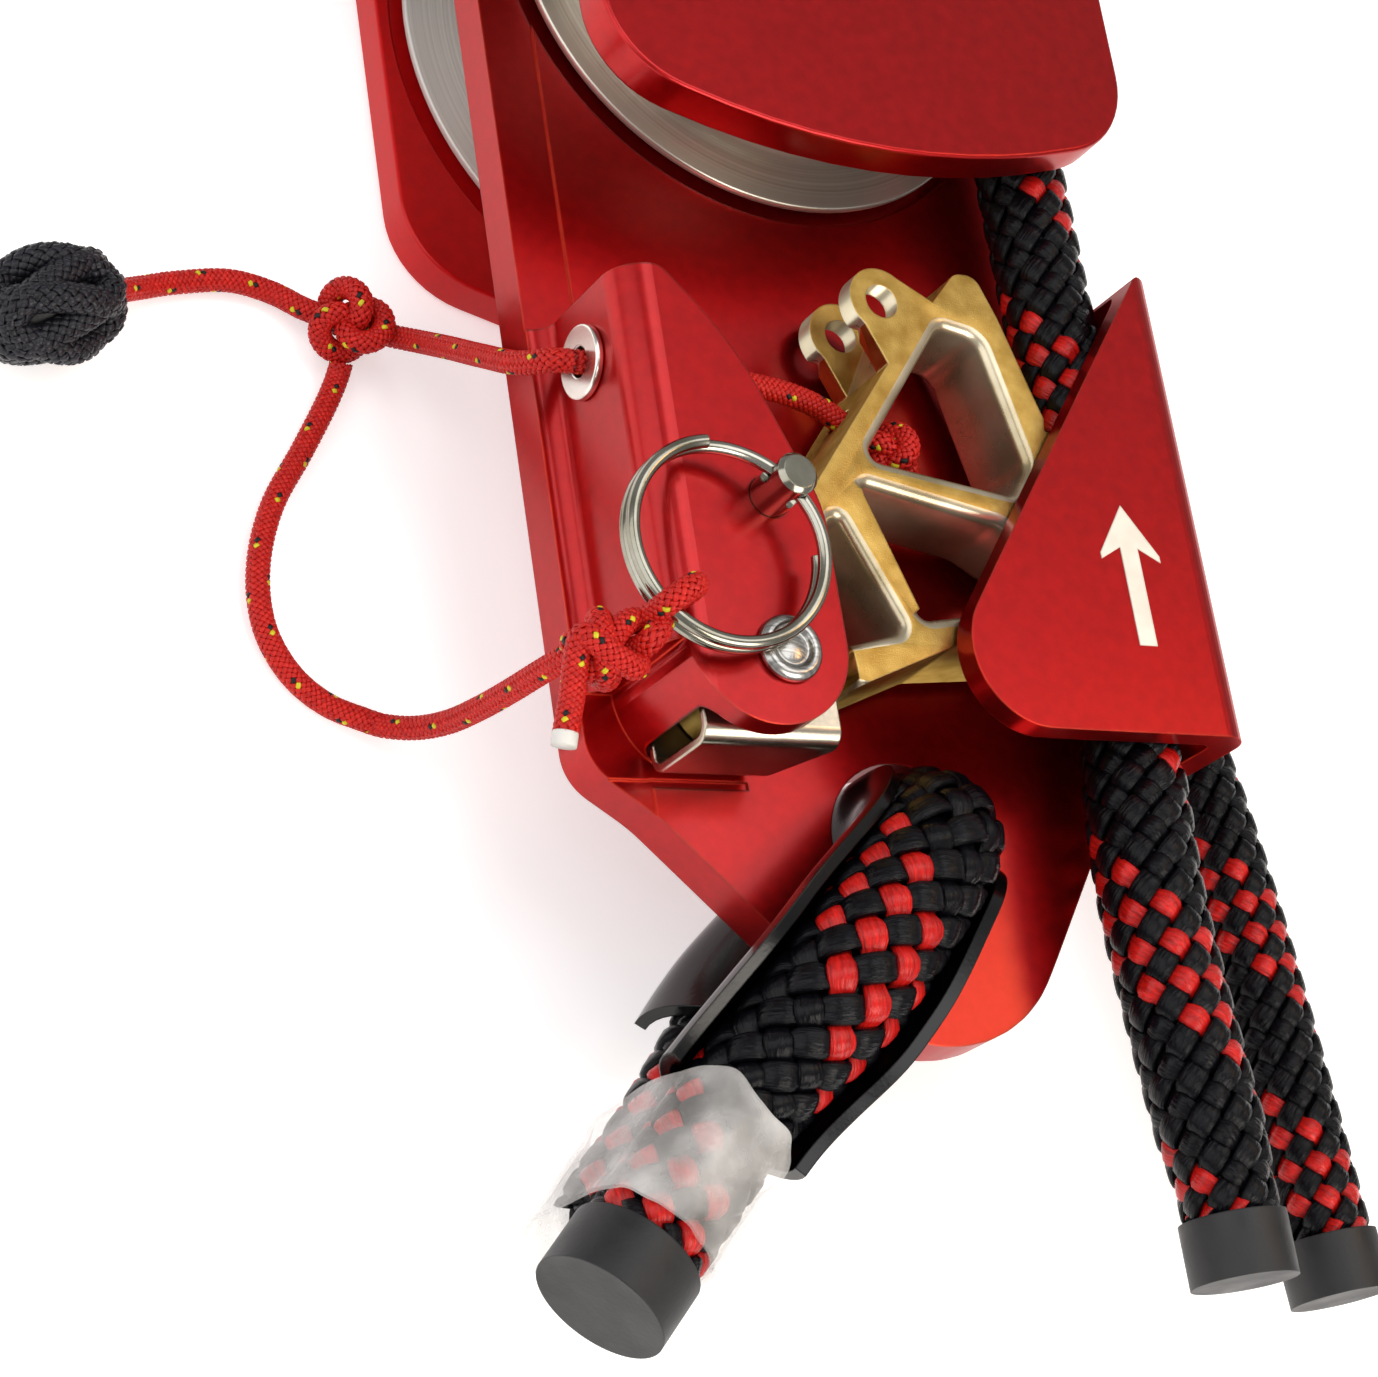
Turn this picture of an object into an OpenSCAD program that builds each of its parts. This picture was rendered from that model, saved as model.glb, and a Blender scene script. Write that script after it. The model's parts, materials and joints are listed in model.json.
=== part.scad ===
// Double hauling pulley block with a toothed rope-grab cam, lying on its rear cheek.
// X runs across the plates, Y towards the anchor end, Z up out of the front face.
// Outlines are drawn about the cam pivot and moved to the frame by at_pivot().

/* [Rope and cord] */
// Diameter of the hauling rope
rope_d = 11; // [9:0.5:11.5]
// Diameter of the release cord
cord_d = 2.8; // [2.2:0.1:3.2]
// Diameter of the spliced becket eye
eye_d = 13.5; // [11:0.5:13.5]
// Bore of the becket hole
becket_d = 19; // [18:0.5:22]

/* [Main plate] */
// Width of the main plate
plate_w = 76.8; // [72:0.2:96]
// Distance from the cam pivot to the top of the plates
plate_top = 160; // [150:1:195]
// Thickness of the main plate
plate_t = 5.8; // [4.5:0.1:7]
// Distance from the plate's left edge to the cam pivot
pivot_in = 15.7; // [15.7:0.1:17]
// Width of the plate's strip outside the cam channel
strip_w = 2.5; // [2.4:0.1:3]
// Height of the channel lips above the plate
channel_h = 17.5; // [17:0.1:21]
// Thickness of the channel walls
wall_t = 4; // [3:0.1:4.4]
// Thickness of the channel lips
lip_t = 3; // [2:0.1:3.2]
// Outside radius of the channel bends
bend_r = 4; // [2:0.1:5]
// Fillet at the foot of each wall
foot_r = 2.3; // [1:0.1:2.4]
// Depth of the machined steps on the plate's face
step_h = 0.3; // [0.1:0.1:0.5]
// Depth of the round recess beside each sheave
recess_h = 0.8; // [0.2:0.1:1.5]
// Gap between a sheave's rim and the edge of its recess
recess_gap = 1.2; // [0.8:0.1:1.6]
// Diameter of the anchor hole
anchor_d = 16; // [14:0.5:18]

/* [Cheeks and sheaves] */
// Thickness of each cheek plate
cheek_t = 5.3; // [4:0.1:7]
// Width of the front cheek
front_cheek_w = 71; // [66:0.5:86]
// Width of the rear cheek
rear_cheek_w = 80; // [70:0.5:96]
// Distance from the axle to the front cheek's lower edge
front_cheek_low = 36.4; // [35:0.2:42]
// Distance from the axle to the rear cheek's lower edge
rear_cheek_low = 41; // [36:0.2:46]
// Clear height of each sheave bay
bay_h = 16.5; // [16:0.1:20]
// Gap between a sheave and the plates beside it
sheave_play = 0.75; // [0.4:0.05:1]
// Distance from the cam pivot up to the sheave axle
axle_y = 97; // [95:0.5:110]
// Diameter of the sheave axle
axle_d = 12; // [10:0.5:14.5]
// Height of the front sheave's flange above the rope's centre
front_flange_h = 4.5; // [3:0.1:5]
// Height of the rear sheave's flange above the rope's centre
rear_flange_h = 8.5; // [3:0.1:9]
// Width of each ball bearing
bearing_t = 8; // [6:0.5:10]
// Diameter of the bearing balls
ball_d = 4.4; // [3.5:0.1:5]
// Number of balls in each bearing
balls = 9; // [6:1:9]

/* [Cam] */
// Diameter of the cam axle
cam_axle_d = 6; // [5:0.1:7]
// Diameter of the cam's hub
cam_hub_d = 11.5; // [10:0.1:12]
// Thickness of each cam ear
ear_t = 2.5; // [1.5:0.1:3]
// Bore of the cam's ears
ear_d = 4.2; // [3:0.1:5]
// Number of teeth on the cam
teeth = 12; // [8:1:14]
// Depth of the cam's teeth
tooth_h = 0.8; // [0.4:0.1:1.2]
// Wire of the cam's return spring
spring_d = 1; // [0.8:0.1:1.1]
// Turns of the return spring
spring_turns = 2; // [1:1:2]
// Sheet thickness of the clip under the cam
clip_t = 1; // [0.8:0.1:1.2]

/* [Lock pin] */
// Diameter of the lock pin
pin_d = 4.8; // [4.4:0.1:5.2]
// Height of the pin above the lip
pin_out = 6.6; // [6.4:0.1:9]
// Wire of the split ring
ring_wire = 1.5; // [1.2:0.1:1.6]
// Diameter of the split ring at its wire
ring_d = 22.4; // [20:0.1:26]

/* [Clearances] */
// Radial clearance of pins and shafts in their holes
fit_gap = 0.05; // [0.02:0.01:0.1]
// Gap between pieces that pass each other
run_gap = 0.3; // [0.2:0.05:0.5]

/* [Hidden] */
$fn = 64;
rope_r = rope_d / 2;
cord_r = cord_d / 2;
eye_r = eye_d / 2;
becket_r = becket_d / 2;

// Heights, from the rear cheek's back upwards
rear_cheek_z = cheek_t;
plate_back_z = rear_cheek_z + bay_h;
plate_z = plate_back_z + plate_t;
lip_z = plate_z + channel_h;
channel_roof_z = lip_z - lip_t;
front_cheek_z = plate_z + bay_h;
front_z = front_cheek_z + cheek_t;
rear_bay_z = rear_cheek_z + bay_h / 2;
front_bay_z = plate_z + bay_h / 2;

// Places across the plate, from the cam pivot
plate_left = -pivot_in;
plate_right = plate_left + plate_w;
axle_x = plate_left + plate_w / 2;
wall_left = plate_left + strip_w;
channel_left = wall_left + wall_t;
channel_right = plate_right - wall_t;
rope_x = channel_right - run_gap - 0.1 - rope_r;
sheave_rope_r = rope_x - axle_x;
front_rim_r = sheave_rope_r + front_flange_h;
rear_rim_r = sheave_rope_r + rear_flange_h;
sheave_t = bay_h - 2 * sheave_play;
groove_r = rope_r + run_gap;
cam_face = rope_x - rope_r - 0.5;

// Main plate outline: each corner is x, y and the radius of its rounding
lobe_corner = [axle_x + 4.7, -48.3, 17.6];
plate_corners = [
    [plate_left, -6.8, 6],
    [plate_left + 7.2, -11.9, 20],
    lobe_corner,
    [lobe_corner[0] + 23.1, -13.5, 10],
    [plate_right, -9, 5],
    [plate_right, plate_top - 46, 22],
    [axle_x + 19.3, plate_top, 15],
    [axle_x - 19.3, plate_top, 15],
    [plate_left, plate_top - 46, 22],
];
becket_at = [axle_x + 0.2, -15];
anchor_gap = 1.3;
anchor_at = [axle_x, axle_y + max(front_rim_r, rear_rim_r) + anchor_d / 2 + anchor_gap];

// Cam channel: the left lip's foot is a round end about this point
foot_at = [-2, 1.2];
foot_end_r = 9.6;
foot_low = foot_at[1] - foot_end_r;
left_top = 44.4;
left_lip_corners = [
    [foot_at[0], foot_at[1], 0],
    [foot_at[0] + foot_end_r, foot_at[1], 0],
    [foot_at[0] + foot_end_r, 17, 14],
    [-0.5, 36, 40],
    [-8.2, left_top, 2.5],
    [plate_left - 1, left_top, 0],
    [plate_left - 1, foot_at[1], 0],
];
// Rope channel: a triangle with a round corner towards the cam
right_low = -7.4;
right_top = 51.2;
right_lip_corners = [
    [plate_right + 1, right_low, 0],
    [plate_right - 46, right_low, 9.1],
    [plate_right - 3.2, right_top, 1.5],
    [plate_right + 1, right_top, 0],
];
arrow_at = [plate_right - 12.8, 3.1];

// Cam, its clip and the pivot's stack, as heights above the plate
rear_washer_t = 1;
front_washer_t = 1.5;
clip_low = rear_washer_t;
clip_high = channel_h - lip_t - front_washer_t;
clip_left = -8.6;
clip_right = 8.2;
clip_cut = 3.7;
clip_foot = -8.5;
clip_head = 5.2;
hub_low = clip_low + clip_t + run_gap;
hub_t = 5;
cam_low = plate_z + hub_low;
cam_high = channel_roof_z - 0.7;
hub_clear_r = 11;
ear_at = [23, 45.5];
ear_r = 4.2;
cord_hole_at = [19.8, 31.9];
cord_hole_turn = -35;
cord_z = plate_z + (channel_h - lip_t) / 2 + 0.35;
tooth_low = 10;
tooth_high = 33;

// Lock pin and split ring
pin_at = [0.8, 17.6];
pin_seat = 3;
ring_side = [-0.745, -0.667];
ring_turn = atan2(ring_side[1], ring_side[0]);
ring_lift = 3.8;
ring_tilt = 2.5;
ring_r = ring_d / 2;
ring_pitch = ring_wire - 0.05;
pin_eye_d = 2 * ring_wire + 0.65;
ring_left = pin_at[0] + ring_side[0] * ring_r - ring_r - ring_wire / 2;

// Cord eyelet in the left wall
eyelet_at = [wall_left, 36.8, cord_z];
eyelet_hole_d = cord_d + 2.2;
eyelet_flange_d = 8.4;
eyelet_flange_t = 1;

// Becket eye: it leans towards the lower left, and straddles the plate
eye_turn = 225.8;
thimble_t = 1.6;
eye_bend_r = plate_t / 2 + run_gap + thimble_t + eye_r;
eye_crown = eye_bend_r - becket_r + eye_r + 0.3;
eye_straight = 24;
eye_throat = 44;
eye_mid_z = plate_back_z + plate_t / 2;
thimble_end = 34;
sleeve_start = 40;
sleeve_end = 60;
sleeve_t = 0.6;
sleeve_spread = 1;
eye_tail = 54;
eye_end = 62;

// Ropes leave the sheaves after this much wrap
rope_wrap = 105;
rope_tail = 34;
rope_low = -60;
cap_t = 0.5;
cap_len = 7;
rear_lean = 12.7;

// Cord routes: x and y from the pivot, z above the rear cheek's back
release_route = [
    [-15.1, 36.8, 35.2], [-16.9, 36.9, 34.9], [-18.6, 38.5, 30.5], [-19, 43, 23],
    [-18.8, 48, 15], [-19.2, 52, 8.5], [-21.6, 54.4, 5], [-26, 55.8, 4.3],
    [-30, 57.6, 2.9], [-33.5, 60, 1.7], [-38.5, 61, 1.6], [-45, 60, 1.6],
    [-50, 58.2, 2.6], [-54, 56, 5],
];
loop_route = [
    [-26.3, 51.2, 2.7], [-26.7, 49.6, 1.8], [-28.2, 46.5, 1.6], [-32, 40, 1.6],
    [-36.3, 33, 1.6], [-38.6, 26.5, 1.6], [-39.2, 21, 1.6], [-38.5, 16.5, 1.6],
    [-36, 12, 1.6], [-32.3, 9, 1.6], [-28.4, 7.2, 2.2],
];
ring_route = [
    [-28, 7.02, 2.3], [-26.6, 6.4, 2.8], [-24.4, 5, 6], [-23, 3.8, 11], [-22.5, 2.8, 18],
    [-22.3, 2.1, 25], [-22.1, 1.6, 32], [-21.4, 1.4, 38], [-20.2, 1.5, 41],
];
inner_route = [
    [-14.5, 36.8, 35.2], [-8, 36.8, 35.2], [0, 36.8, 35.2], [7, 36.4, 35.2],
    [12.4, 35.6, 35.2], [16.5, 34.2, 35.2], [19.8, 31.9, 35.2], [21.5, 30.7, 35.2],
];
rear_route = [
    [56.4, 77, 13.6], [61.5, 54.5, 13.9], [66.8, 31, 15.5], [71, 12, 17.4],
    [73.4, -3, 18.7], [74.8, -20, 19.8], [75.9, -40, 20.5], [76.8, rope_low, 21],
];
loop_knot_at = [-26, 55.8, 4.6];
loop_knot_r = 4.2;
hitch_at = [-18.8, 2.6, 46.2];
hitch_r = 4.4;
stopper_at = [24.3, 28.8, 35.2];
stopper_r = 3.1;
knob_at = [-54.6, 55.6, 6.7];
knob_len = 17;
knob_r = 6.6;

// Frame: the middle of the object's box, without its cords
plate_outline = rounded(plate_corners);
frame_x = (min(ring_left, axle_x - rear_cheek_w / 2) + axle_x + rear_cheek_w / 2) / 2;
frame_y = (min([for (p = plate_outline) p[1]]) + plate_top) / 2;

// Corner points with their radii turned into one outline with arcs
function unit(v) = v / norm(v);
function xy(p) = [p[0], p[1]];
function corner_arc(a, b, c, r, steps) =
    let (
        u = unit(xy(a) - xy(b)),
        v = unit(xy(c) - xy(b)),
        half = acos(u * v) / 2,
        centre = xy(b) + unit(u + v) * r / sin(half),
        from = xy(b) + u * r / tan(half) - centre,
        to = xy(b) + v * r / tan(half) - centre,
        start = atan2(from[1], from[0]),
        span = atan2(to[1], to[0]) - start,
        turn = span > 180 ? span - 360 : (span < -180 ? span + 360 : span)
    )
    [for (k = [0:steps]) centre + r * [cos(start + turn * k / steps), sin(start + turn * k / steps)]];
function rounded(corners, steps = 10) =
    let (n = len(corners))
    [for (i = [0:n - 1])
        each corners[i][2] == 0
            ? [xy(corners[i])]
            : corner_arc(corners[(i + n - 1) % n], corners[i], corners[(i + 1) % n], corners[i][2], steps)];

// A round tube swept along a route, with flat ends
function heading(route, i) =
    unit(route[min(i + 1, len(route) - 1)] - route[max(i - 1, 0)]);
function side_of(t) = unit(cross(t, abs(t[2]) < 0.9 ? [0, 0, 1] : [1, 0, 0]));
function tube_ring(route, i, r, sides) =
    let (t = heading(route, i), s = side_of(t), u = cross(s, t))
    [for (k = [0:sides - 1]) route[i] + r * (cos(360 * k / sides) * s + sin(360 * k / sides) * u)];
module tube(route, r, sides) {
    n = len(route);
    points = [for (i = [0:n - 1]) each tube_ring(route, i, r, sides)];
    walls = [for (i = [0:n - 2]) for (k = [0:sides - 1])
        let (a = i * sides + k, b = i * sides + (k + 1) % sides)
        each [[a, a + sides, b], [b, a + sides, b + sides]]];
    low_end = [for (k = [1:sides - 2]) [0, k, k + 1]];
    last = (n - 1) * sides;
    high_end = [for (k = [1:sides - 2]) [last, last + k + 1, last + k]];
    polyhedron(points = points, faces = concat(walls, low_end, high_end), convexity = 6);
}

module at_pivot() {
    translate([-frame_x, -frame_y, 0])
    children();
}

// Main plate
module drill(at, d, z0, z1) {
    translate([at[0], at[1], z0])
    cylinder(d = d, h = z1 - z0);
}

module left_profile() {
    polygon(rounded([
        [plate_left, plate_z - 1, 0],
        [plate_left, plate_z, 0],
        [wall_left, plate_z, foot_r],
        [wall_left, lip_z, bend_r],
        [12, lip_z, 0],
        [12, channel_roof_z, 0],
        [channel_left, channel_roof_z, 1.5],
        [channel_left, plate_z, 2],
        [channel_left + 3, plate_z, 0],
        [channel_left + 3, plate_z - 1, 0],
    ]));
}

module right_profile() {
    polygon(rounded([
        [channel_right - 3, plate_z - 1, 0],
        [channel_right - 3, plate_z, 0],
        [channel_right, plate_z, 1.5],
        [channel_right, channel_roof_z, 1.5],
        [plate_right - 40, channel_roof_z, 0],
        [plate_right - 40, lip_z, 0],
        [plate_right, lip_z, bend_r],
        [plate_right, plate_z - 1, 0],
    ]));
}

module along_y(y0, y1) {
    translate([0, y1, 0])
    rotate([90, 0, 0])
    linear_extrude(height = y1 - y0)
    children();
}

module sheave_recess(z, rim_r) {
    translate([axle_x, axle_y, z - recess_h])
    cylinder(r = rim_r + recess_gap, h = 5);
}

module cam_wall() {
    intersection() {
        along_y(foot_low - 1, left_top)
        left_profile();
        translate([0, 0, plate_z - 1])
        linear_extrude(height = channel_h + 2)
        union() {
            polygon(rounded(left_lip_corners));
            translate(foot_at)
            circle(r = foot_end_r);
        }
    }
}

module rope_wall() {
    intersection() {
        along_y(right_low, right_top)
        right_profile();
        translate([0, 0, plate_z - 1])
        linear_extrude(height = channel_h + 2)
        polygon(rounded(right_lip_corners));
    }
}

module plate_cuts() {
    drill([axle_x, axle_y], axle_d + 2 * fit_gap, 0, front_z);
    drill(anchor_at, anchor_d, 0, front_z);
    drill(becket_at, becket_d, 0, front_z);
    drill([0, 0], cam_axle_d + 2 * fit_gap, 0, front_z);
    drill([0, 0], cam_axle_d + 5, plate_back_z - 1, plate_back_z + 1.5);
    drill(pin_at, pin_d + 2 * fit_gap, plate_z - pin_seat, front_z);
    translate([wall_left - 5, eyelet_at[1], eyelet_at[2]])
    rotate([0, 90, 0])
    cylinder(d = eyelet_hole_d, h = wall_t + 10);
    sheave_recess(plate_z, front_rim_r);
    translate([plate_left - 1, left_top, plate_z - step_h])
    cube([channel_left - plate_left + 1, plate_top, 5]);
    translate([plate_left - 1, lobe_corner[1], plate_z - step_h])
    cube([clip_left + 0.5 - plate_left + 1, foot_low - lobe_corner[1], 5]);
    translate([clip_left, clip_foot - 0.7, plate_z - step_h])
    cube([clip_cut - clip_left, 0.9, 5]);
}

module main_plate() {
    color([0.72, 0.1, 0.12])
    at_pivot()
    difference() {
        translate([0, 0, plate_back_z])
        linear_extrude(height = plate_t)
        polygon(plate_outline);
        cam_wall();
        rope_wall();
        plate_cuts();
    }
}

module cam_channel() {
    color([0.72, 0.1, 0.12])
    at_pivot()
    difference() {
        cam_wall();
        plate_cuts();
    }
}

module rope_channel() {
    color([0.72, 0.1, 0.12])
    at_pivot()
    difference() {
        rope_wall();
        plate_cuts();
    }
}

module direction_arrow() {
    color("white")
    at_pivot()
    translate([arrow_at[0], arrow_at[1], lip_z])
    linear_extrude(height = 0.1)
    polygon([
        [-1.25, 0], [1.25, 0], [1.25, 12], [4.2, 10.4], [4.2, 11.2], [0, 17.3],
        [-4.2, 11.2], [-4.2, 10.4], [-1.25, 12],
    ]);
}

// Cheeks and the sheave axle: each cheek's lower edge is one shallow arc
crown_r = 90;
crown_turn = 17;
crown_drop = crown_r / cos(crown_turn) - crown_r;

module cheek_outline(w, low) {
    foot_y = axle_y - low - crown_drop;
    side_y = foot_y + w / 2 * tan(crown_turn);
    polygon(rounded([
        [axle_x - w / 2, side_y, 12],
        [axle_x, foot_y, crown_r],
        [axle_x + w / 2, side_y, 12],
        [axle_x + w / 2, plate_top - 46, 22],
        [axle_x + 19.3, plate_top, 15],
        [axle_x - 19.3, plate_top, 15],
        [axle_x - w / 2, plate_top - 46, 22],
    ]));
}

module cheek(w, low, z0) {
    color([0.72, 0.1, 0.12])
    at_pivot()
    difference() {
        translate([0, 0, z0])
        linear_extrude(height = cheek_t)
        cheek_outline(w, low);
        drill([axle_x, axle_y], axle_d + 2 * fit_gap, -1, front_z + 1);
        drill(anchor_at, anchor_d, -1, front_z + 1);
        children();
    }
}

module front_cheek() {
    cheek(front_cheek_w, front_cheek_low, front_cheek_z);
}

module rear_cheek() {
    cheek(rear_cheek_w, rear_cheek_low, 0)
    union() {
        drill([axle_x, axle_y], axle_d + 8, -1, 2.5 + run_gap);
        sheave_recess(rear_cheek_z, rear_rim_r);
    }
}

module sheave_axle() {
    color("silver")
    at_pivot()
    translate([axle_x, axle_y, 0])
    rotate_extrude()
    polygon([
        [0, 0.2], [axle_d / 2 + 3.5, 0.2], [axle_d / 2 + 3.5, 2.5], [axle_d / 2, 2.5],
        [axle_d / 2, front_z + 0.1], [axle_d / 2 + 4.8, front_z + 0.1],
        [axle_d / 2 + 4.8, front_z + 1.2], [axle_d / 2 + 3.6, front_z + 2.4],
        [axle_d / 2 - 2, front_z + 2.4], [axle_d / 2 - 3, front_z + 1.4], [0, front_z + 1.4],
    ]);
}

// Sheaves with their ball bearings
inner_race_r = axle_d / 2 + 2.4;
ball_ring_r = inner_race_r + 0.6 + ball_d / 2 - 0.8;
outer_race_r = ball_ring_r + ball_d / 2 - 0.8 + 0.6;
bearing_r = outer_race_r + 2.4;
ring_groove_t = 1.2;

module sheave(zc, rim_r) {
    bore = bearing_r + 0.02;
    color([0.78, 0.78, 0.76])
    at_pivot()
    translate([axle_x, axle_y, zc])
    rotate_extrude()
    difference() {
        translate([bore, -sheave_t / 2])
        square([rim_r - bore, sheave_t]);
        translate([sheave_rope_r, 0])
        circle(r = groove_r);
        polygon([
            [sheave_rope_r, -groove_r], [rim_r + 1, -groove_r - 0.7],
            [rim_r + 1, groove_r + 0.7], [sheave_rope_r, groove_r],
        ]);
        for (side = [-1, 1])
            translate([bore - 1, side * (bearing_t / 2 + 0.05 + ring_groove_t / 2) - ring_groove_t / 2])
            square([1.8, ring_groove_t]);
    }
}

module race(r0, r1, groove_sign, zc) {
    color("silver")
    at_pivot()
    translate([axle_x, axle_y, zc])
    rotate_extrude()
    difference() {
        translate([r0, -bearing_t / 2])
        square([r1 - r0, bearing_t]);
        translate([ball_ring_r, 0])
        circle(d = ball_d + 2 * fit_gap);
        for (side = [-1, 1])
            translate([groove_sign > 0 ? r0 - 0.5 : r1 - 0.5, side * (bearing_t / 2 - 0.6) - 0.3])
            square([1, 0.6]);
    }
}

module bearing_balls(zc) {
    color("silver")
    at_pivot()
    translate([axle_x, axle_y, zc])
    for (k = [0:balls - 1])
        rotate([0, 0, 360 * k / balls])
        translate([ball_ring_r, 0, 0])
        sphere(d = ball_d);
}

module shields(zc) {
    color([0.3, 0.3, 0.32])
    at_pivot()
    translate([axle_x, axle_y, zc])
    for (side = [-1, 1])
        translate([0, 0, side * (bearing_t / 2 - 0.6) - 0.2])
        difference() {
            cylinder(r = outer_race_r + 0.4, h = 0.4);
            translate([0, 0, -1])
            cylinder(r = inner_race_r + 0.15, h = 3);
        }
}

module bearing_rings(zc) {
    color([0.35, 0.35, 0.37])
    at_pivot()
    translate([axle_x, axle_y, zc])
    for (side = [-1, 1])
        translate([0, 0, side * (bearing_t / 2 + 0.05 + ring_groove_t / 2) - 0.5])
        difference() {
            cylinder(r = bearing_r + 0.7, h = 1);
            translate([0, 0, -1])
            cylinder(r = bearing_r - 1.6, h = 3);
            translate([0, -1, -1])
            cube([2 * bearing_r, 2, 3]);
        }
}

module spacers(zc) {
    spacer_t = (bay_h - bearing_t) / 2 - 0.05;
    color([0.6, 0.6, 0.62])
    at_pivot()
    translate([axle_x, axle_y, zc])
    for (side = [-1, 1])
        translate([0, 0, side * (bearing_t / 2 + spacer_t / 2) - spacer_t / 2])
        difference() {
            cylinder(r = inner_race_r - 0.4, h = spacer_t);
            translate([0, 0, -1])
            cylinder(r = axle_d / 2 + fit_gap, h = spacer_t + 2);
        }
}

module front_sheave() { sheave(front_bay_z, front_rim_r); }
module rear_sheave() { sheave(rear_bay_z, rear_rim_r); }
module front_outer_race() { race(outer_race_r, bearing_r, 1, front_bay_z); }
module rear_outer_race() { race(outer_race_r, bearing_r, 1, rear_bay_z); }
module front_inner_race() { race(axle_d / 2 + fit_gap, inner_race_r, -1, front_bay_z); }
module rear_inner_race() { race(axle_d / 2 + fit_gap, inner_race_r, -1, rear_bay_z); }
module front_balls() { bearing_balls(front_bay_z); }
module rear_balls() { bearing_balls(rear_bay_z); }
module front_shields() { shields(front_bay_z); }
module rear_shields() { shields(rear_bay_z); }
module front_retaining_rings() { bearing_rings(front_bay_z); }
module rear_retaining_rings() { bearing_rings(rear_bay_z); }
module front_spacers() { spacers(front_bay_z); }
module rear_spacers() { spacers(rear_bay_z); }

// Cam: a frame with three windows, teeth on its rope side and two ears at its upper end
function cam_edge(y) = cam_face - 0.0143 * pow(y - 20, 2);
tooth_pitch = (tooth_high - tooth_low) / teeth;
function tooth(y) = [
    [cam_edge(y) - tooth_h, y, 0],
    [cam_edge(y + 0.8 * tooth_pitch), y + 0.8 * tooth_pitch, 0],
];
cam_corners = concat(
    [
        [-3, 4.6, 0],
        [1, -5.2, 0],
        [10, -2.4, 2],
        [24.4, 3.3, 3],
        [cam_face - 8, 4.3, 3],
        [cam_face - 3, 8, 2],
    ],
    [for (k = [0:teeth - 1]) each tooth(tooth_low + k * tooth_pitch)],
    [
        [cam_face - 3.1, 35.1, 1],
        [cam_face - 6.2, 45.2, 4],
        [cam_face - 8.3, 50.4, 2],
        [cam_face - 11.2, 50.4, 2],
        [30.2, 46.2, 1],
        [26.5, 45, 0.5],
        [22.4, 37.6, 1],
        [9.4, 21.2, 2.5],
        [7.2, 16.8, 2],
    ]
);
cam_windows = [
    [
        [30.6, 43.2, 1.5],
        [cam_face - 9.4, 42.2, 2.5],
        [cam_face - 5.9, 26.3, 3],
        [cam_face - 8.6, 22.6, 1.5],
        [17.1, 25.6, 1.2],
    ],
    [
        [15.2, 22.4, 1],
        [cam_face - 11.4, 18.6, 4],
        [cam_face - 6.2, 15.2, 2],
        [cam_face - 7, 9, 2],
        [20.9, 6.3, 1.5],
    ],
    [
        [11.6, 19, 0.8],
        [18.2, 4.8, 1.2],
        [9, 2.3, 1],
        [6.2, 4.8, 1],
    ],
];

module cam_frame() {
    difference() {
        union() {
            circle(d = cam_hub_d);
            polygon(rounded(cam_corners));
        }
        for (window = cam_windows)
            polygon(rounded(window));
    }
}

module cam_ear(z0) {
    translate([0, 0, z0])
    linear_extrude(height = ear_t)
    union() {
        translate(ear_at)
        circle(r = ear_r);
        polygon([
            [ear_at[0] - ear_r, ear_at[1]],
            [23.2, 35.7],
            [28.9, 43.8],
            [31.7, 45.35],
            [ear_at[0] + 2.4, ear_at[1] + 3.4],
        ]);
    }
}

module cam() {
    color([0.78, 0.66, 0.36])
    at_pivot()
    difference() {
        union() {
            translate([0, 0, cam_low])
            linear_extrude(height = cam_high - cam_low)
            cam_frame();
            cam_ear(cam_low);
            cam_ear(cam_high - ear_t);
        }
        drill([0, 0], 2 * hub_clear_r, cam_low + hub_t, front_z);
        drill([0, 0], cam_axle_d + 2 * fit_gap, 0, front_z);
        drill(ear_at, ear_d, 0, front_z);
        translate([cord_hole_at[0], cord_hole_at[1], cord_z])
        rotate([0, 0, cord_hole_turn])
        rotate([0, 90, 0])
        cylinder(d = cord_d + 2 * run_gap, h = 14, center = true);
    }
}

module cam_axle() {
    shank = cam_axle_d / 2;
    color("silver")
    at_pivot()
    rotate_extrude()
    polygon([
        [0, plate_back_z + 0.1], [shank + 2.3, plate_back_z + 0.1], [shank + 2.3, plate_back_z + 1.4],
        [shank, plate_back_z + 1.4], [shank, lip_z + 0.05], [shank + 0.8, lip_z + 0.05],
        [shank + 0.8, lip_z + 0.8], [shank + 0.2, lip_z + 1.35], [shank - 0.5, lip_z + 1.35],
        [shank - 1, lip_z + 0.7], [shank - 1.3, lip_z + 0.9], [0, lip_z + 1.2],
    ]);
}

module cam_washers() {
    color("silver")
    at_pivot()
    for (stack = [[plate_z, rear_washer_t], [plate_z + clip_high, front_washer_t]])
        translate([0, 0, stack[0]])
        difference() {
            cylinder(d = cam_axle_d + 4, h = stack[1]);
            translate([0, 0, -1])
            cylinder(d = cam_axle_d + 2 * fit_gap, h = 5);
        }
}

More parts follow.
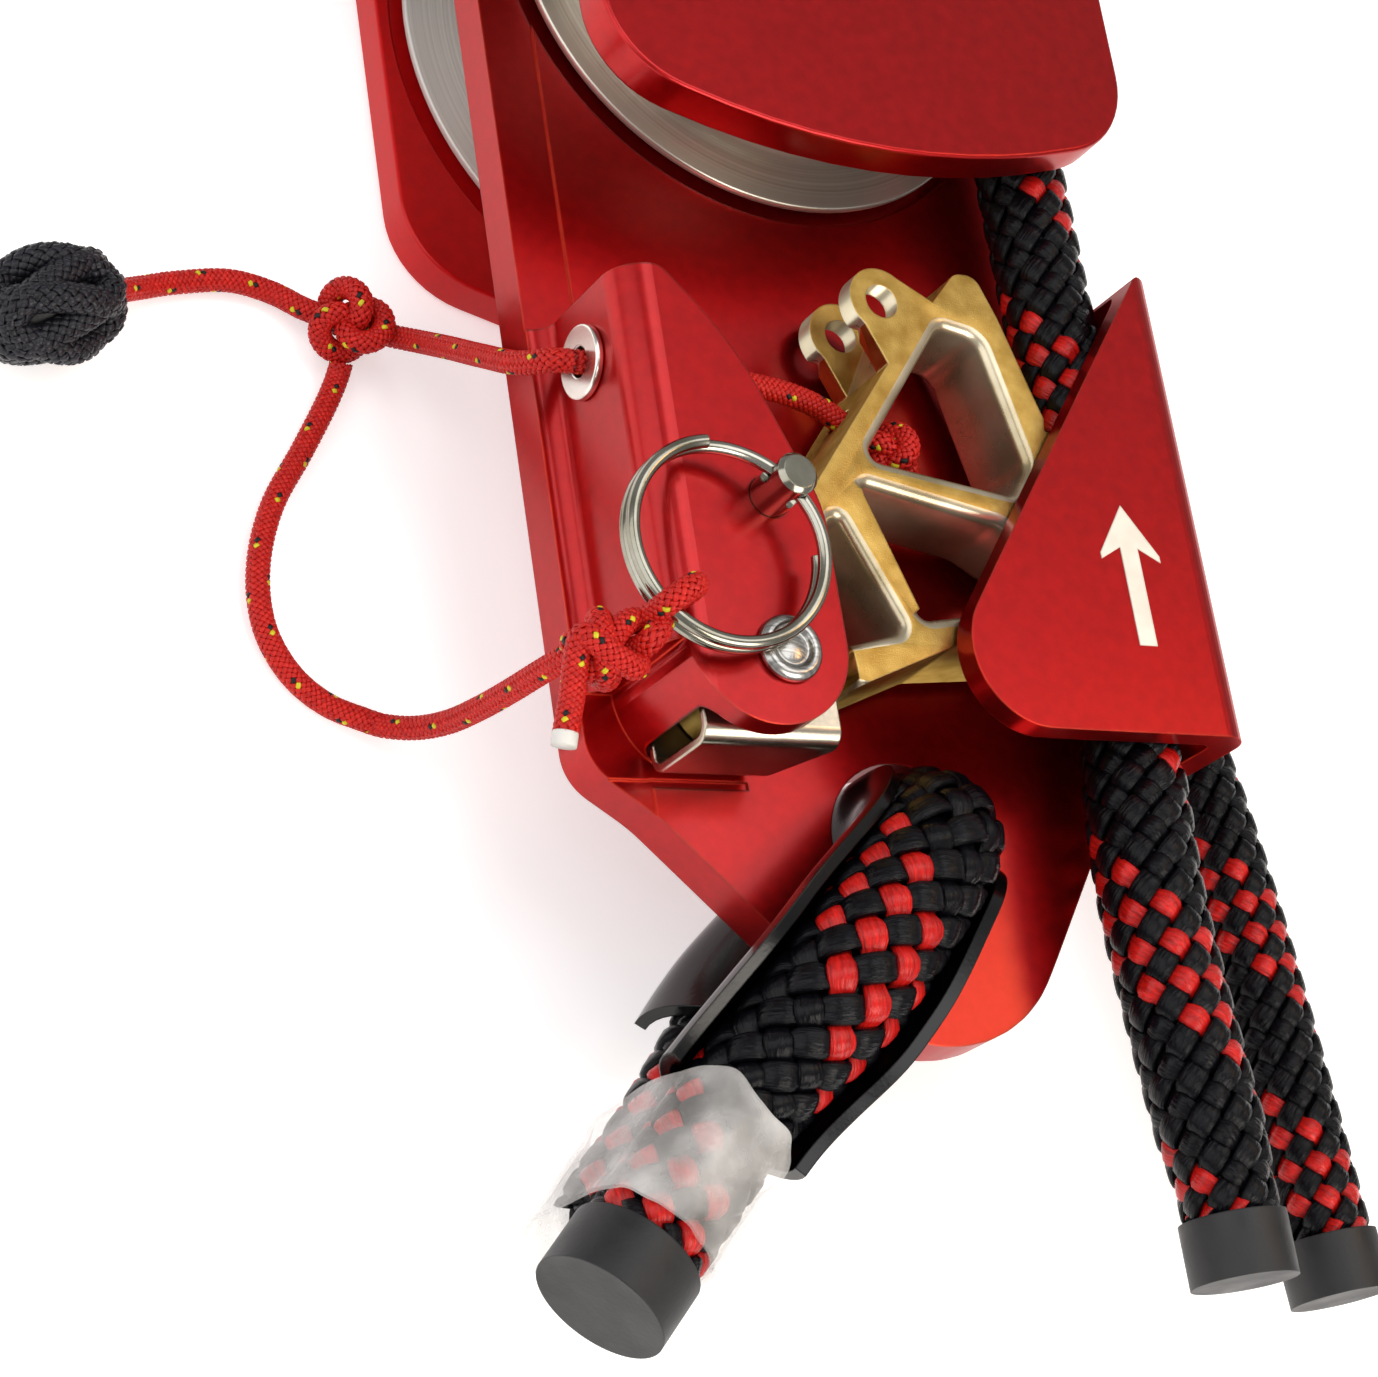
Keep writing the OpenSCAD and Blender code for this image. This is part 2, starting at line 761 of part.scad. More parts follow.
module cam_clip() {
    leg = clip_head - clip_foot;
    color([0.8, 0.8, 0.78])
    at_pivot()
    difference() {
        translate([clip_left, clip_foot, plate_z])
        rotate([90, 0, 90])
        linear_extrude(height = clip_right - clip_left)
        polygon(rounded([
            [leg, clip_low, 0],
            [0, clip_low, 2],
            [0, clip_high, 2],
            [leg, clip_high, 0],
            [leg, clip_high - clip_t, 0],
            [clip_t, clip_high - clip_t, 1],
            [clip_t, clip_low + clip_t, 1],
            [leg, clip_low + clip_t, 0],
        ], 5));
        drill([0, 0], cam_axle_d + 2 * fit_gap, 0, front_z);
        along_y(clip_foot - 1, clip_head + 1)
        polygon([
            [clip_cut, plate_z], [clip_right + 1, plate_z + clip_high],
            [clip_right + 9, plate_z + clip_high], [clip_right + 9, plate_z],
        ]);
    }
}

// Return spring: one wire wound round the cam axle, one leg on the clip and one on the cam
spring_r = cam_axle_d / 2 + 0.9 + spring_d / 2;
spring_low = hub_low + hub_t + spring_d / 2 + 0.25;
spring_pitch = spring_d + 0.5;
spring_steps = floor(spring_turns * 8);
spring_top = spring_low + spring_pitch * spring_turns;
spring_route = concat(
    [[-spring_r, -6.6, plate_z + spring_low], [-spring_r, -3, plate_z + spring_low]],
    [for (k = [0:spring_steps])
        [-spring_r * cos(45 * k), spring_r * sin(45 * k), plate_z + spring_low + spring_pitch * k / 8]],
    [for (p = [[-4.1, 3.4], [-2, 7], [1.5, 11.3], [2.9, 13.1]]) [p[0], p[1], plate_z + spring_top]]
);
spring_gap = min([for (i = [0:len(spring_route) - 1]) for (j = [i + 4:1:len(spring_route) - 1])
    norm(spring_route[i] - spring_route[j])]) - spring_d;
echo(spring_gap = spring_gap);

module cam_spring() {
    color([0.55, 0.56, 0.58])
    at_pivot()
    tube(spring_route, spring_d / 2, 6);
}

// Lock pin and split ring
module pin_eye() {
    translate([pin_at[0], pin_at[1], lip_z + ring_lift])
    rotate([0, 0, ring_turn])
    children();
}

module lock_pin() {
    top = lip_z + pin_out;
    color("silver")
    at_pivot()
    difference() {
        translate([pin_at[0], pin_at[1], 0])
        rotate_extrude()
        polygon([
            [0, plate_z - pin_seat + 0.1], [pin_d / 2 - 0.6, plate_z - pin_seat + 0.1],
            [pin_d / 2, plate_z - pin_seat + 0.7], [pin_d / 2, top - 0.5], [pin_d / 2 - 0.5, top], [0, top],
        ]);
        pin_eye()
        rotate([90, 0, 0])
        cylinder(d = pin_eye_d, h = 20, center = true);
    }
}

module split_ring() {
    color("silver")
    at_pivot()
    pin_eye()
    rotate([0, ring_tilt, 0])
    translate([ring_r, 0, 0])
    rotate_extrude()
    translate([ring_r, 0])
    union() {
        for (side = [-0.5, 0.5])
            translate([0, side * ring_pitch])
            circle(d = ring_wire, $fn = 32);
    }
}

module cord_eyelet() {
    bore = cord_r + run_gap;
    barrel = eyelet_hole_d / 2 - fit_gap;
    color([0.85, 0.85, 0.83])
    at_pivot()
    translate(eyelet_at)
    rotate([0, 90, 0])
    rotate_extrude()
    polygon([
        [bore, -eyelet_flange_t], [eyelet_flange_d / 2, -eyelet_flange_t], [eyelet_flange_d / 2, -0.02],
        [barrel, -0.02], [barrel, wall_t + 0.02], [barrel + 0.8, wall_t + 0.02],
        [barrel + 0.8, wall_t + 0.5], [bore, wall_t + 0.5],
    ]);
}

// Release cord, its knots and the pull knob
module release_cord() {
    color([0.8, 0.15, 0.1])
    at_pivot()
    tube(release_route, cord_r, 8);
}

module loop_cord() {
    color([0.8, 0.15, 0.1])
    at_pivot()
    tube(loop_route, cord_r, 8);
}

module ring_cord() {
    color([0.8, 0.15, 0.1])
    at_pivot()
    tube(ring_route, cord_r, 8);
}

module inner_cord() {
    color([0.8, 0.15, 0.1])
    at_pivot()
    tube(inner_route, cord_r, 8);
}

module loop_knot() {
    color([0.8, 0.15, 0.1])
    at_pivot()
    translate(loop_knot_at)
    sphere(r = loop_knot_r);
}

module ring_hitch() {
    color([0.8, 0.15, 0.1])
    at_pivot()
    translate(hitch_at)
    sphere(r = hitch_r);
}

module stopper_knot() {
    color([0.8, 0.15, 0.1])
    at_pivot()
    translate(stopper_at)
    sphere(r = stopper_r);
}

module pull_knob() {
    color([0.12, 0.12, 0.13])
    at_pivot()
    translate(knob_at)
    rotate([0, 0, 203])
    rotate([0, 90, 0])
    rotate_extrude()
    polygon([
        [0, 0], [knob_r * 0.5, 0], [knob_r * 0.9, knob_len * 0.15], [knob_r, knob_len * 0.4],
        [knob_r, knob_len * 0.7], [knob_r * 0.8, knob_len * 0.93], [knob_r * 0.5, knob_len], [0, knob_len],
    ]);
}

// Hauling rope strands: up the channel side, over the sheave and away to the left
function wrap_point(a, z) =
    [axle_x + sheave_rope_r * cos(a), axle_y + sheave_rope_r * sin(a), z];
function wrap(from, z) = [for (k = [0:8]) wrap_point(from + (rope_wrap - from) * k / 8, z)];
function tail_point(z) = wrap_point(rope_wrap, z) + rope_tail * [-sin(rope_wrap), cos(rope_wrap), 0];
function reversed(list) = [for (i = [len(list) - 1:-1:0]) list[i]];

front_rope_route = concat(
    [for (k = [0:6]) [rope_x, rope_low + (axle_y - rope_low) * k / 7, front_bay_z]],
    wrap(0, front_bay_z),
    [tail_point(front_bay_z)]
);
rear_rope_route = concat(
    reversed(rear_route),
    wrap(rear_lean, rear_bay_z),
    [tail_point(rear_bay_z)]
);

module front_rope() {
    color([0.1, 0.1, 0.13])
    at_pivot()
    tube(front_rope_route, rope_r, 12);
}

module rear_rope() {
    color([0.1, 0.1, 0.13])
    at_pivot()
    tube(rear_rope_route, rope_r, 12);
}

module end_cap(at, dir) {
    turn = atan2(dir[1], dir[0]);
    translate(at)
    rotate([0, 0, turn])
    rotate([0, 90 - asin(dir[2] / norm(dir)), 0])
    cylinder(r = rope_r + cap_t, h = cap_len);
}

module rope_caps(route) {
    n = len(route);
    color([0.2, 0.2, 0.22])
    at_pivot()
    union() {
        end_cap(route[0], heading(reversed(route), n - 1));
        end_cap(route[n - 1], heading(route, n - 1));
    }
}

module front_rope_caps() { rope_caps(front_rope_route); }
module rear_rope_caps() { rope_caps(rear_rope_route); }

// Becket eye, drawn with its length along X and the plate's middle at Z = 0
module at_eye() {
    at_pivot()
    translate([becket_at[0], becket_at[1], eye_mid_z])
    rotate([0, 0, eye_turn])
    children();
}

module eye_crown_bend() {
    translate([eye_crown, 0, 0])
    rotate([90, 0, 0])
    rotate([0, 0, 90])
    rotate_extrude(angle = 180)
    translate([eye_bend_r, 0])
    children();
}

module eye_leg(from, to, side, z0, z1) {
    run = norm([to - from, z1 - z0]);
    translate([from, 0, side * z0])
    rotate([0, 90 - side * atan2(z1 - z0, to - from), 0])
    rotate([0, 0, side > 0 ? 0 : 180])
    linear_extrude(height = run)
    children();
}

module thimble_section() {
    difference() {
        circle(r = eye_r + thimble_t);
        circle(r = eye_r + 0.05);
        translate([-0.5, -2 * eye_r])
        square([3 * eye_r, 4 * eye_r]);
    }
}

eye_throat_z = eye_r + 0.2;
function eye_z(along) =
    eye_bend_r + (eye_throat_z - eye_bend_r) * (along - eye_straight) / (eye_throat - eye_straight);

eye_route = concat(
    [[eye_end, 0, eye_throat_z], [eye_throat, 0, eye_throat_z], [eye_straight, 0, eye_bend_r]],
    [for (k = [0:10])
        [eye_crown - eye_bend_r * sin(18 * k), 0, eye_bend_r * cos(18 * k)]],
    [[eye_straight, 0, -eye_bend_r], [eye_throat, 0, -eye_throat_z], [eye_tail, 0, -eye_throat_z]]
);

module becket_eye() {
    color([0.1, 0.1, 0.13])
    at_eye()
    tube(eye_route, eye_r, 12);
}

module thimble() {
    color([0.08, 0.08, 0.09])
    at_eye()
    union() {
        eye_crown_bend()
        thimble_section();
        for (side = [-1, 1]) {
            eye_leg(eye_crown - 0.01, eye_straight, side, eye_bend_r, eye_bend_r)
            rotate([0, 0, 180])
            thimble_section();
            eye_leg(eye_straight, thimble_end, side, eye_bend_r, eye_z(thimble_end))
            rotate([0, 0, 180])
            thimble_section();
        }
    }
}

module sleeve_outline(gap) {
    spread = eye_throat_z + sleeve_spread;
    union() {
        for (side = [-1, 1])
            translate([side * spread, 0])
            circle(r = eye_r + gap);
        translate([-spread, -eye_r - gap])
        square([2 * spread, 2 * (eye_r + gap)]);
    }
}

module eye_sleeve() {
    color([0.85, 0.87, 0.88, 0.4])
    at_eye()
    translate([sleeve_start, 0, 0])
    rotate([0, 90, 0])
    linear_extrude(height = sleeve_end - sleeve_start)
    difference() {
        sleeve_outline(sleeve_t + run_gap);
        sleeve_outline(run_gap);
    }
}

module eye_cap() {
    color([0.2, 0.2, 0.22])
    at_eye()
    translate([eye_end, 0, eye_throat_z])
    rotate([0, 90, 0])
    cylinder(r = eye_r + cap_t, h = cap_len);
}

main_plate();
cam_channel();
rope_channel();
direction_arrow();
front_cheek();
rear_cheek();
sheave_axle();
front_sheave();
front_outer_race();
front_inner_race();
front_balls();
front_shields();
front_retaining_rings();
front_spacers();
rear_sheave();
rear_outer_race();
rear_inner_race();
rear_balls();
rear_shields();
rear_retaining_rings();
rear_spacers();
cam();
cam_axle();
cam_washers();
cam_clip();
cam_spring();
lock_pin();
split_ring();
cord_eyelet();
release_cord();
loop_cord();
ring_cord();
inner_cord();
loop_knot();
ring_hitch();
stopper_knot();
pull_knob();
front_rope();
rear_rope();
front_rope_caps();
rear_rope_caps();
becket_eye();
thimble();
eye_sleeve();
eye_cap();
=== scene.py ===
import json
import math

import bmesh
import bpy
import numpy as np
from mathutils import Matrix, Vector


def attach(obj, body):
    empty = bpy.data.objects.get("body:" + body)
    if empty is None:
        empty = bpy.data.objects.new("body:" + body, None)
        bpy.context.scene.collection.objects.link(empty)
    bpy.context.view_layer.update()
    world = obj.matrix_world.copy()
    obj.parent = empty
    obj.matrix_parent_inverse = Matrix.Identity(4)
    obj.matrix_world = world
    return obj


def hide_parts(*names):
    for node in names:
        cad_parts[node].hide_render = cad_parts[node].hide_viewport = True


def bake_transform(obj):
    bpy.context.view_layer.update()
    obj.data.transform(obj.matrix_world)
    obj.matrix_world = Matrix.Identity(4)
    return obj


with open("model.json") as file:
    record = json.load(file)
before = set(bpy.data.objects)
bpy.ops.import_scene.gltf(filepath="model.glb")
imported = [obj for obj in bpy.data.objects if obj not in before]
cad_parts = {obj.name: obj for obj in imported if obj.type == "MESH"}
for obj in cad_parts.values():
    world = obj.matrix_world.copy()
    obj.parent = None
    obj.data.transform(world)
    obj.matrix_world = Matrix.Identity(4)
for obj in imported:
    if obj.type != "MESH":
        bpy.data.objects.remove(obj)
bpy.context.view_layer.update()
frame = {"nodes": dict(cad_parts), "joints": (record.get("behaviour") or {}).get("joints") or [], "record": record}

MM = 0.001

nodes = frame["nodes"]
record = frame["record"]
scene = bpy.context.scene
pivot = next(np.array(j["pos_m"]) for j in frame["joints"] if j["name"] == "cam_pivot")


def at(*spot):
    """A spot in mm as a point in the row frame."""
    return pivot + np.array(spot, float) * MM


# Camera, fitted to the photo: two turns and a roll about its own axis
CAMERA_SPOT = (-178.354, -115.535, 310.372)
CAMERA_TURN, CAMERA_TILT, CAMERA_ROLL = (math.radians(a) for a in (-34.22, -20.29, -9.59))
LENS = 85.12
SENSOR = 36
SHIFT = (-0.0807, -0.04696)


def add_camera():
    back = Vector((
        math.sin(CAMERA_TURN) * math.cos(CAMERA_TILT),
        math.sin(CAMERA_TILT),
        math.cos(CAMERA_TURN) * math.cos(CAMERA_TILT),
    ))
    right = Vector((0, 1, 0)).cross(back).normalized()
    up = back.cross(right)
    rolled_right = math.cos(CAMERA_ROLL) * right + math.sin(CAMERA_ROLL) * up
    rolled_up = math.cos(CAMERA_ROLL) * up - math.sin(CAMERA_ROLL) * right
    data = bpy.data.cameras.new("camera")
    data.sensor_fit = "HORIZONTAL"
    data.sensor_width = SENSOR
    data.lens = LENS
    data.shift_x, data.shift_y = SHIFT
    data.clip_start = 0.01
    camera = bpy.data.objects.new("camera", data)
    scene.collection.objects.link(camera)
    turn = Matrix((rolled_right, rolled_up, back)).transposed().to_4x4()
    camera.matrix_world = Matrix.Translation(Vector(at(*CAMERA_SPOT))) @ turn
    scene.camera = camera


add_camera()


# Shader helpers
def plug(tree, value, socket):
    """Link a socket to another one, or set it to a plain value."""
    if isinstance(value, bpy.types.NodeSocket):
        tree.links.new(value, socket)
    else:
        socket.default_value = value


def add_node(tree, kind, sockets=None, **settings):
    node = tree.nodes.new(kind)
    for key, value in settings.items():
        setattr(node, key, value)
    for key, value in (sockets or {}).items():
        plug(tree, value, node.inputs[key])
    return node


def math_node(tree, operation, a, b=0.0, clamp=False):
    return add_node(tree, "ShaderNodeMath", {0: a, 1: b}, operation=operation, use_clamp=clamp).outputs[0]


def spread(tree, value, low, high, to_low, to_high):
    sockets = {"Value": value, "From Min": low, "From Max": high, "To Min": to_low, "To Max": to_high}
    return add_node(tree, "ShaderNodeMapRange", sockets).outputs[0]


def mix_colour(tree, share, a, b):
    return add_node(tree, "ShaderNodeMix", {0: share, 6: a, 7: b}, data_type="RGBA").outputs[2]


def rgb(r, g, b):
    """A colour from 0 to 255 as linear values."""
    values = [v / 255 for v in (r, g, b)]
    return (*[v / 12.92 if v <= 0.04045 else ((v + 0.055) / 1.055) ** 2.4 for v in values], 1)


def shared_group(name, inputs, outputs):
    group = bpy.data.node_groups.new(name, "ShaderNodeTree")
    for label, kind, value in inputs:
        group.interface.new_socket(label, in_out="INPUT", socket_type=kind).default_value = value
    for label, kind in outputs:
        group.interface.new_socket(label, in_out="OUTPUT", socket_type=kind)
    return group, group.nodes.new("NodeGroupInput"), group.nodes.new("NodeGroupOutput")


# Shared effects: a tone's width in grains, patches per metre of the edges' painted highlight, and the slow share
# of a yarn's tone
TONE_WIDTH, WORN_HIGHLIGHT_PATCHES, SLOW_TONE = 12.0, 220.0, 0.3


def grain_group():
    """Fine grain of a size in mm, and a slow tone many times as wide."""
    tree, into, out = shared_group(
        "fine_grain",
        [("Size", "NodeSocketFloat", 0.3)],
        [("Height", "NodeSocketFloat"), ("Tone", "NodeSocketFloat")],
    )
    place = add_node(tree, "ShaderNodeTexCoord").outputs["Object"]
    scale = math_node(tree, "DIVIDE", 1 / MM, into.outputs["Size"])
    fine = add_node(tree, "ShaderNodeTexNoise", {"Vector": place, "Scale": scale, "Detail": 3.0})
    wide_scale = math_node(tree, "DIVIDE", scale, TONE_WIDTH)
    wide = add_node(tree, "ShaderNodeTexNoise", {"Vector": place, "Scale": wide_scale, "Detail": 4.0})
    plug(tree, fine.outputs[0], out.inputs["Height"])
    plug(tree, spread(tree, wide.outputs[0], 0.3, 0.7, 0.0, 1.0), out.inputs["Tone"])
    return tree


def edge_group():
    """Rounded normals at edges, and a mask where those edges are painted bright: a painted highlight, broken into
    patches like rubbed wear.
    """
    tree, into, out = shared_group(
        "rubbed_edges_and_painted_highlight",
        [("Width", "NodeSocketFloat", 0.4)],
        [("Mask", "NodeSocketFloat"), ("Normal", "NodeSocketVector")],
    )
    radius = math_node(tree, "MULTIPLY", into.outputs["Width"], MM)
    rounded = add_node(tree, "ShaderNodeBevel", {"Radius": radius}, samples=6)
    face = add_node(tree, "ShaderNodeNewGeometry").outputs["Normal"]
    match = add_node(tree, "ShaderNodeVectorMath", {0: rounded.outputs[0], 1: face}, operation="DOT_PRODUCT")
    mask = spread(tree, match.outputs["Value"], 0.98, 0.85, 0.0, 0.4)
    near = spread(tree, match.outputs["Value"], 0.99, 0.96, 0.0, 1.0)
    normal = add_node(tree, "ShaderNodeMix", {0: near, 4: face, 5: rounded.outputs[0]}, data_type="VECTOR")
    place = add_node(tree, "ShaderNodeTexCoord").outputs["Object"]
    # Patches break up the painted highlight along the edges, like rubbed wear
    patches = {"Vector": place, "Scale": WORN_HIGHLIGHT_PATCHES, "Detail": 3.0}
    patchy = add_node(tree, "ShaderNodeTexNoise", patches).outputs[0]
    worn = spread(tree, patchy, 0.3, 0.6, 0.35, 1.0)
    plug(tree, math_node(tree, "MULTIPLY", mask, worn), out.inputs["Mask"])
    plug(tree, normal.outputs[1], out.inputs["Normal"])
    return tree


def fibre_group():
    """Fibres along a yarn, from its own UV map: U runs along the yarn in mm and V round it."""
    tree, into, out = shared_group(
        "yarn_fibres",
        [("Count", "NodeSocketFloat", 9.0)],
        [("Height", "NodeSocketFloat"), ("Tone", "NodeSocketFloat")],
    )
    place = add_node(tree, "ShaderNodeTexCoord").outputs["UV"]
    parts = add_node(tree, "ShaderNodeSeparateXYZ", {0: place})
    across = math_node(tree, "MULTIPLY", parts.outputs["Y"], into.outputs["Count"])
    along = math_node(tree, "MULTIPLY", parts.outputs["X"], 0.7)
    vector = add_node(tree, "ShaderNodeCombineXYZ", {0: along, 1: across}).outputs[0]
    fibres = add_node(tree, "ShaderNodeTexNoise", {"Vector": vector, "Scale": 1.0, "Detail": 4.0}).outputs[0]
    slow = add_node(tree, "ShaderNodeTexNoise", {"Vector": vector, "Scale": 0.23, "Detail": 1.0}).outputs[0]
    plug(tree, fibres, out.inputs["Height"])
    fibre_share = math_node(tree, "MULTIPLY", fibres, 1 - SLOW_TONE)
    slow_share = math_node(tree, "MULTIPLY", slow, SLOW_TONE)
    tone = math_node(tree, "ADD", fibre_share, slow_share)
    plug(tree, spread(tree, tone, 0.3, 0.7, 0.0, 1.0), out.inputs["Tone"])
    return tree


def turning_group():
    """Rings left by turning, round an upright axis through Centre."""
    tree, into, out = shared_group(
        "turned_rings",
        [("Centre", "NodeSocketVector", (0, 0, 0)), ("Pitch", "NodeSocketFloat", 0.5)],
        [("Height", "NodeSocketFloat"), ("Tone", "NodeSocketFloat")],
    )
    place = add_node(tree, "ShaderNodeTexCoord").outputs["Object"]
    centre = into.outputs["Centre"]
    offset = add_node(tree, "ShaderNodeVectorMath", {0: place, 1: centre}, operation="SUBTRACT")
    flat = add_node(tree, "ShaderNodeVectorMath", {0: offset.outputs[0], 1: (1, 1, 0)}, operation="MULTIPLY")
    radius = add_node(tree, "ShaderNodeVectorMath", {0: flat.outputs[0]}, operation="LENGTH").outputs["Value"]
    height = add_node(tree, "ShaderNodeSeparateXYZ", {0: place}).outputs["Z"]
    reach = math_node(tree, "ADD", radius, math_node(tree, "MULTIPLY", height, 0.8))
    rings = math_node(tree, "DIVIDE", math_node(tree, "MULTIPLY", reach, 1 / MM), into.outputs["Pitch"])
    line = add_node(tree, "ShaderNodeCombineXYZ", {0: rings}).outputs[0]
    noise = add_node(tree, "ShaderNodeTexNoise", {"Vector": line, "Scale": 1.0, "Detail": 3.0}).outputs[0]
    plug(tree, noise, out.inputs["Height"])
    plug(tree, spread(tree, noise, 0.35, 0.65, 0.0, 1.0), out.inputs["Tone"])
    return tree


GRAIN, EDGES, FIBRES, TURNING = grain_group(), edge_group(), fibre_group(), turning_group()


def new_material(name):
    material = bpy.data.materials.new(name)
    material.use_nodes = True
    tree = material.node_tree
    return material, tree, tree.nodes["Principled BSDF"]


def use_group(tree, group, **sockets):
    return add_node(tree, "ShaderNodeGroup", sockets, node_tree=group).outputs


# Pitch of turning marks and width of moulded edges in mm, and the roughness of a clear coat
RING_MARKS, MOULDED_EDGE, COAT_ROUGH = 0.35, 0.3, 0.2


def metal(name, dark, light, edge, rough, grain, depth, edge_width=0.4, metallic=1.0, coat=0.0, rings=None,
          graze=(1, 1, 1, 1)):
    """A metal finish with grain, tone, a painted highlight in the edge colour along its edges and, where rings
    gives an axis, turning marks.
    """
    material, tree, main = new_material(name)
    fine = use_group(tree, GRAIN, Size=grain)
    edges = use_group(tree, EDGES, Width=edge_width)
    tone, height = fine["Tone"], fine["Height"]
    if rings is not None:
        turned = use_group(tree, TURNING, Centre=tuple(rings), Pitch=RING_MARKS)
        tone, height = turned["Tone"], turned["Height"]
    body = mix_colour(tree, tone, dark, light)
    # The edge colour over the edge mask is a painted highlight along the edges
    plug(tree, mix_colour(tree, edges["Mask"], body, edge), main.inputs["Base Color"])
    plug(tree, spread(tree, tone, 0.0, 1.0, rough * 0.94, rough * 1.06), main.inputs["Roughness"])
    main.inputs["Metallic"].default_value = metallic
    main.inputs["Specular Tint"].default_value = graze
    main.inputs["Coat Weight"].default_value = coat
    main.inputs["Coat Roughness"].default_value = COAT_ROUGH
    bump = {"Height": height, "Distance": depth * MM, "Strength": 1.0, "Normal": edges["Normal"]}
    plug(tree, add_node(tree, "ShaderNodeBump", bump).outputs[0], main.inputs["Normal"])
    return material


def yarn(name, dark, light, rough=0.5, count=9.0, depth=0.05, gloss=0.3):
    """Textile yarn with fibres along it."""
    material, tree, main = new_material(name)
    fibres = use_group(tree, FIBRES, Count=count)
    plug(tree, mix_colour(tree, fibres["Tone"], dark, light), main.inputs["Base Color"])
    plug(tree, spread(tree, fibres["Tone"], 0.0, 1.0, rough, rough * 0.8), main.inputs["Roughness"])
    main.inputs["Specular IOR Level"].default_value = gloss
    bump = {"Height": fibres["Height"], "Distance": depth * MM, "Strength": 1.0}
    plug(tree, add_node(tree, "ShaderNodeBump", bump).outputs[0], main.inputs["Normal"])
    return material


def moulded(name, dark, light, rough, grain, depth, gloss=0.5):
    """Plastic, print or rubber with a little grain and tone."""
    material, tree, main = new_material(name)
    fine = use_group(tree, GRAIN, Size=grain)
    edges = use_group(tree, EDGES, Width=MOULDED_EDGE)
    plug(tree, mix_colour(tree, fine["Tone"], dark, light), main.inputs["Base Color"])
    plug(tree, spread(tree, fine["Tone"], 0.0, 1.0, rough * 0.8, rough * 1.2), main.inputs["Roughness"])
    main.inputs["Specular IOR Level"].default_value = gloss
    bump = {"Height": fine["Height"], "Distance": depth * MM, "Strength": 1.0, "Normal": edges["Normal"]}
    plug(tree, add_node(tree, "ShaderNodeBump", bump).outputs[0], main.inputs["Normal"])
    return material


def clear_plastic(name):
    """Milky shrunk plastic that shows the rope through it."""
    material, tree, main = new_material(name)
    fine = use_group(tree, GRAIN, Size=0.7)
    milk = mix_colour(tree, fine["Tone"], rgb(226, 222, 218), rgb(248, 246, 244))
    plug(tree, milk, main.inputs["Base Color"])
    plug(tree, spread(tree, fine["Tone"], 0.0, 1.0, 0.1, 0.42), main.inputs["Alpha"])
    plug(tree, spread(tree, fine["Tone"], 0.0, 1.0, 0.12, 0.3), main.inputs["Roughness"])
    bump = {"Height": fine["Height"], "Distance": 0.15 * MM, "Strength": 1.0}
    plug(tree, add_node(tree, "ShaderNodeBump", bump).outputs[0], main.inputs["Normal"])
    return material


# Finishes: sizes of grain, edges and depth in mm
SHEAVE_X, SHEAVE_Y = 22.7, 97
AXLE = at(SHEAVE_X, SHEAVE_Y, 0)
# Each finish's edge colour is a painted highlight along its edges; the red one is a painted orange highlight
RED_EDGE_HIGHLIGHT, RED_GRAZE = rgb(232, 92, 60), rgb(200, 116, 108)
METALS = {
    "red_anodised": {
        "dark": rgb(166, 10, 15), "light": rgb(180, 14, 18), "edge": RED_EDGE_HIGHLIGHT, "graze": RED_GRAZE,
        "rough": 0.34, "grain": 0.12, "depth": 0.006, "edge_width": 0.45, "metallic": 0.9, "coat": 0.5,
    },
    # Rear cheek's copy: rougher, and a lighter red painted in as light for the shade it lies in
    "red_matt": {
        "dark": rgb(196, 12, 17), "light": rgb(210, 16, 20), "edge": RED_EDGE_HIGHLIGHT, "graze": RED_GRAZE,
        "rough": 0.62, "grain": 0.12, "depth": 0.006, "edge_width": 0.45, "metallic": 0.55, "coat": 0.42,
    },
    "steel": {
        "dark": rgb(150, 148, 144), "light": rgb(196, 194, 190), "edge": rgb(226, 224, 220),
        "rough": 0.25, "grain": 0.3, "depth": 0.004, "rings": AXLE,
    },
    "polished_sheave": {
        "dark": rgb(186, 180, 168), "light": rgb(218, 214, 204), "edge": rgb(240, 238, 232),
        "rough": 0.3, "grain": 0.3, "depth": 0.004, "metallic": 0.8, "rings": AXLE,
    },
    # Rear sheave's copy: rougher, and a lighter base colour painted in as light for the shade it lies in
    "matt_sheave": {
        "dark": rgb(206, 202, 196), "light": rgb(230, 228, 222), "edge": rgb(244, 242, 238),
        "rough": 0.5, "grain": 0.3, "depth": 0.004, "metallic": 0.4, "rings": AXLE,
    },
    "dark_steel": {
        "dark": rgb(70, 70, 72), "light": rgb(104, 104, 106), "edge": rgb(170, 168, 164),
        "rough": 0.35, "grain": 0.3, "depth": 0.006,
    },
    "gold_cam": {
        "dark": rgb(174, 138, 66), "light": rgb(206, 172, 96), "edge": rgb(236, 216, 164),
        "rough": 0.36, "grain": 0.2, "depth": 0.03,
    },
    "worn_silver": {
        "dark": rgb(160, 144, 110), "light": rgb(214, 204, 180), "edge": rgb(232, 222, 200),
        "rough": 0.28, "grain": 0.8, "depth": 0.012, "metallic": 0.8,
    },
    "bright_sheet": {
        "dark": rgb(176, 166, 146), "light": rgb(214, 206, 190), "edge": rgb(240, 236, 226),
        "rough": 0.24, "grain": 0.5, "depth": 0.008,
    },
    "chrome_wire": {
        "dark": rgb(128, 124, 108), "light": rgb(178, 175, 164), "edge": rgb(214, 212, 204),
        "rough": 0.17, "grain": 0.6, "depth": 0.004, "edge_width": 0.2,
    },
    "nickel": {
        "dark": rgb(208, 204, 196), "light": rgb(234, 230, 222), "edge": rgb(246, 244, 240),
        "rough": 0.22, "grain": 0.5, "depth": 0.005, "edge_width": 0.3,
    },
}
